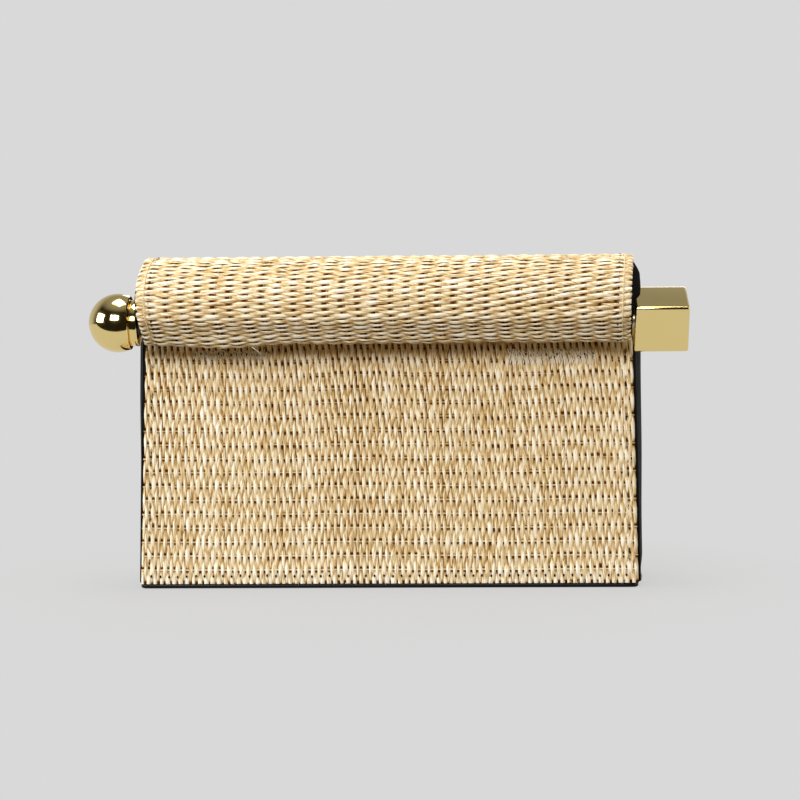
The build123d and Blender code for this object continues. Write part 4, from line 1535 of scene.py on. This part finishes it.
@dataclass
class Studio:
    """Pale floor, soft boxes and the camera."""

    azimuth: float = 2.186
    elevation: float = 2.564
    distance: float = 0.9
    target: tuple[float, float, float] = (0.00493, -0.020, 0.075218)
    view_angle: float = 20.238
    roll: float = -0.454
    paper: str = "#D9D9D9"

    def camera(self) -> None:
        """Place the camera at the photograph's view."""
        a, e = math.radians(self.azimuth), math.radians(self.elevation)
        back = Vector((math.sin(a) * math.cos(e), -math.cos(a) * math.cos(e), math.sin(e)))
        lens = bpy.data.cameras.new("view")
        lens.sensor_width = 36.0
        lens.lens = 18.0 / math.tan(math.radians(self.view_angle) / 2)
        lens.clip_end = 50.0
        eye = bpy.data.objects.new("view", lens)
        eye.location = Vector(self.target) + back * self.distance
        turn = (-back).to_track_quat("-Z", "Y").to_euler()
        turn.rotate_axis("Z", math.radians(self.roll))
        eye.rotation_euler = turn
        bpy.context.scene.collection.objects.link(eye)
        bpy.context.scene.camera = eye

    def soft_box(self, name: str, place: tuple[float, float, float], size: tuple[float, float], power: float) -> None:
        """Hang one soft box that faces the bag.

        Args:
            name: Lamp name.
            place: Its middle, in metres.
            size: Width and height, in metres.
            power: Watts.
        """
        lamp = bpy.data.lights.new(name, "AREA")
        lamp.shape, lamp.size, lamp.size_y, lamp.energy = "RECTANGLE", size[0], size[1], power
        box = bpy.data.objects.new(name, lamp)
        box.location = place
        box.rotation_euler = (Vector((0, 0, 0.07)) - Vector(place)).to_track_quat("-Z", "Y").to_euler()
        bpy.context.scene.collection.objects.link(box)

    @staticmethod
    def seen_ray(tree: bpy.types.NodeTree) -> bpy.types.Node:
        """Node that is 1 for rays that show a thing, straight, mirrored or through glass.

        Args:
            tree: Node tree that takes it.

        Returns:
            The node.
        """
        ray = add_node(tree, "ShaderNodeLightPath")
        seen = add_node(
            tree,
            "ShaderNodeMath",
            links={0: ray.outputs["Is Camera Ray"], 1: ray.outputs["Is Glossy Ray"]},
            operation="MAXIMUM",
        )
        return add_node(
            tree,
            "ShaderNodeMath",
            links={0: seen.outputs[0], 1: ray.outputs["Is Transmission Ray"]},
            operation="MAXIMUM",
        )

    def floor(self) -> None:
        """Lay the pale paper, which runs out evenly into the background."""
        material, tree, shader = blank_material("matt_studio_paper")
        # Seamless paper is dead matt; away from the bag it is lit so evenly that it reads as one tone.
        shader.inputs["Base Color"].default_value = linear("#BCBCBC")
        shader.inputs["Roughness"].default_value = 0.95
        shader.inputs["Specular IOR Level"].default_value = 0.0
        where = add_node(tree, "ShaderNodeTexCoord")
        far = add_node(tree, "ShaderNodeVectorMath", links={0: where.outputs["Object"]}, operation="LENGTH")
        fade = add_node(
            tree,
            "ShaderNodeMapRange",
            {1: 0.08, 2: 0.22, 3: 0.80, 4: 1.0},
            {0: far.outputs["Value"]},
            interpolation_type="SMOOTHSTEP",
        )
        glow = add_node(tree, "ShaderNodeEmission", {"Color": linear(self.paper), "Strength": 1.0})
        seen = self.seen_ray(tree)
        even = add_node(tree, "ShaderNodeMath", links={0: fade.outputs[0], 1: seen.outputs[0]}, operation="MULTIPLY")
        mixed = add_node(
            tree, "ShaderNodeMixShader", links={0: even.outputs[0], 1: shader.outputs[0], 2: glow.outputs[0]}
        )
        tree.links.new(mixed.outputs[0], tree.nodes["Material Output"].inputs["Surface"])
        paper = self.sheet("studio_floor", material, (-14.0, -14.0, 14.0, 14.0), -0.0002)
        paper.visible_diffuse = False

    def sheet(
        self, name: str, material: bpy.types.Material, area: tuple[float, float, float, float], z: float
    ) -> bpy.types.Object:
        """Lay a flat sheet in the studio.

        Args:
            name: Its name.
            material: Its finish.
            area: Left, front, right and back, in metres.
            z: Its height, in metres.

        Returns:
            The sheet.
        """
        left, front, right, back = area
        mesh = bpy.data.meshes.new(name)
        mesh.from_pydata([(left, front, 0), (right, front, 0), (right, back, 0), (left, back, 0)], [], [(0, 1, 2, 3)])
        mesh.materials.append(material)
        made = bpy.data.objects.new(name, mesh)
        made.location = (0, 0, z)
        bpy.context.scene.collection.objects.link(made)
        return made

    def surround(self) -> None:
        """Hang the dim studio that only polished metal shows, with the table's front edge."""
        material, tree, _ = blank_material("dim_studio_cloth")
        where = add_node(tree, "ShaderNodeTexCoord")
        apart = add_node(tree, "ShaderNodeSeparateXYZ", links={0: where.outputs["Object"]})
        share = add_node(tree, "ShaderNodeMapRange", {1: 0.0, 2: 3.0}, {0: apart.outputs["Z"]})
        tone = add_node(
            tree,
            "ShaderNodeValToRGB",
            links={0: share.outputs[0]},
            stops=((0.0, "#221E18"), (1.0, "#A0A09C"), (0.70, "#28251F"), (0.86, "#8C8C88")),
        )
        behind = add_node(
            tree, "ShaderNodeMapRange", {1: -0.2, 2: 1.6}, {0: apart.outputs["Y"]}, interpolation_type="SMOOTHSTEP"
        )
        far = add_node(
            tree,
            "ShaderNodeValToRGB",
            links={0: share.outputs[0]},
            stops=((0.0, "#C8C8C4"), (1.0, "#9A9A96"), (0.45, "#BEBEBA"), (0.8, "#949490")),
        )
        both = add_node(
            tree,
            "ShaderNodeMix",
            links={0: behind.outputs[0], 6: tone.outputs[0], 7: far.outputs[0]},
            data_type="RGBA",
        )
        glow = add_node(tree, "ShaderNodeEmission", {"Strength": 1.0}, {"Color": both.outputs[2]})
        tree.links.new(glow.outputs[0], tree.nodes["Material Output"].inputs["Surface"])
        turn = np.linspace(0, 2 * np.pi, 49)[:-1]
        bend = np.radians(np.linspace(-2, 90, 24))[:, None]
        rings = np.stack([np.cos(bend) * np.cos(turn), np.cos(bend) * np.sin(turn), np.sin(bend) + 0 * turn], -1)
        form = Form()
        form.grid(3000 * rings[None], closed=True)
        dome = form.piece("studio_surround", material)
        drop = self.sheet("table_edge_shade", material, (-3.0, -3.0, 3.0, -0.20), 0.0004)
        for hung in (dome, drop):
            for ray in ("camera", "diffuse", "transmission", "shadow", "volume_scatter"):
                setattr(hung, f"visible_{ray}", False)

    def world(self) -> None:
        """Fill the studio with even light, and show plain paper behind the bag."""
        world = bpy.data.worlds.new("studio")
        world.use_nodes = True
        tree = world.node_tree
        tree.nodes.clear()
        either = self.seen_ray(tree)
        fill = add_node(tree, "ShaderNodeBackground", {"Color": (1.0, 0.76, 0.48, 1), "Strength": 0.185})
        paper = add_node(tree, "ShaderNodeBackground", {"Color": linear(self.paper), "Strength": 1.0})
        mixed = add_node(
            tree, "ShaderNodeMixShader", links={0: either.outputs[0], 1: fill.outputs[0], 2: paper.outputs[0]}
        )
        add_node(tree, "ShaderNodeOutputWorld", links={0: mixed.outputs[0]})
        bpy.context.scene.world = world

    def build(self) -> None:
        """Set up the whole studio."""
        bpy.context.scene.view_settings.view_transform = "Standard"
        self.camera()
        self.floor()
        self.surround()
        self.world()
        self.soft_box("top_soft_box", (-0.04, -0.05, 1.30), (0.62, 0.6), 8.4)
        self.soft_box("left_soft_box", (-1.1, -0.40, 0.42), (0.62, 0.50), 8.5)
        self.soft_box("back_soft_box", (0.30, 1.70, 0.80), (1.0, 0.7), 11.0)
        self.soft_box("right_soft_box", (1.30, -0.10, 0.50), (0.5, 0.6), 5.0)
        self.soft_box("front_soft_box", (-0.30, -1.60, 0.74), (0.9, 0.55), 20.0)


def dress_inner_solids(finishes: Finishes) -> None:
    """Give the solids that stay in view, or inside, their own finishes."""
    kinds = {
        finishes.greyboard: ("base_board", "front_board", "back_board", "roof_board"),
        finishes.foam: ("left_padding", "right_padding"),
        finishes.steel: ("front_magnets", "flap_magnets", "grub_screws"),
        finishes.tube: ("bar_rod",),
        finishes.sleeve: ("bar_sleeve",),
    }
    for material, nodes in kinds.items():
        for name in nodes:
            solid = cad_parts[name]
            solid.data.materials.clear()
            solid.data.materials.append(material)


def main() -> None:
    """Build the studio and every piece of the bag."""
    logging.basicConfig(level=logging.INFO, format="%(name)s: %(message)s")
    sizes = BagSizes()
    finishes = Finishes()
    Studio().build()
    profile = RollProfile(sizes)
    BoxShell(sizes, finishes, profile).build()
    Interior(sizes, finishes, profile).build()
    RollFlap(sizes, finishes, profile).build()
    GiltBar(sizes, finishes).build()
    dress_inner_solids(finishes)


if __name__ == "__main__":
    main()
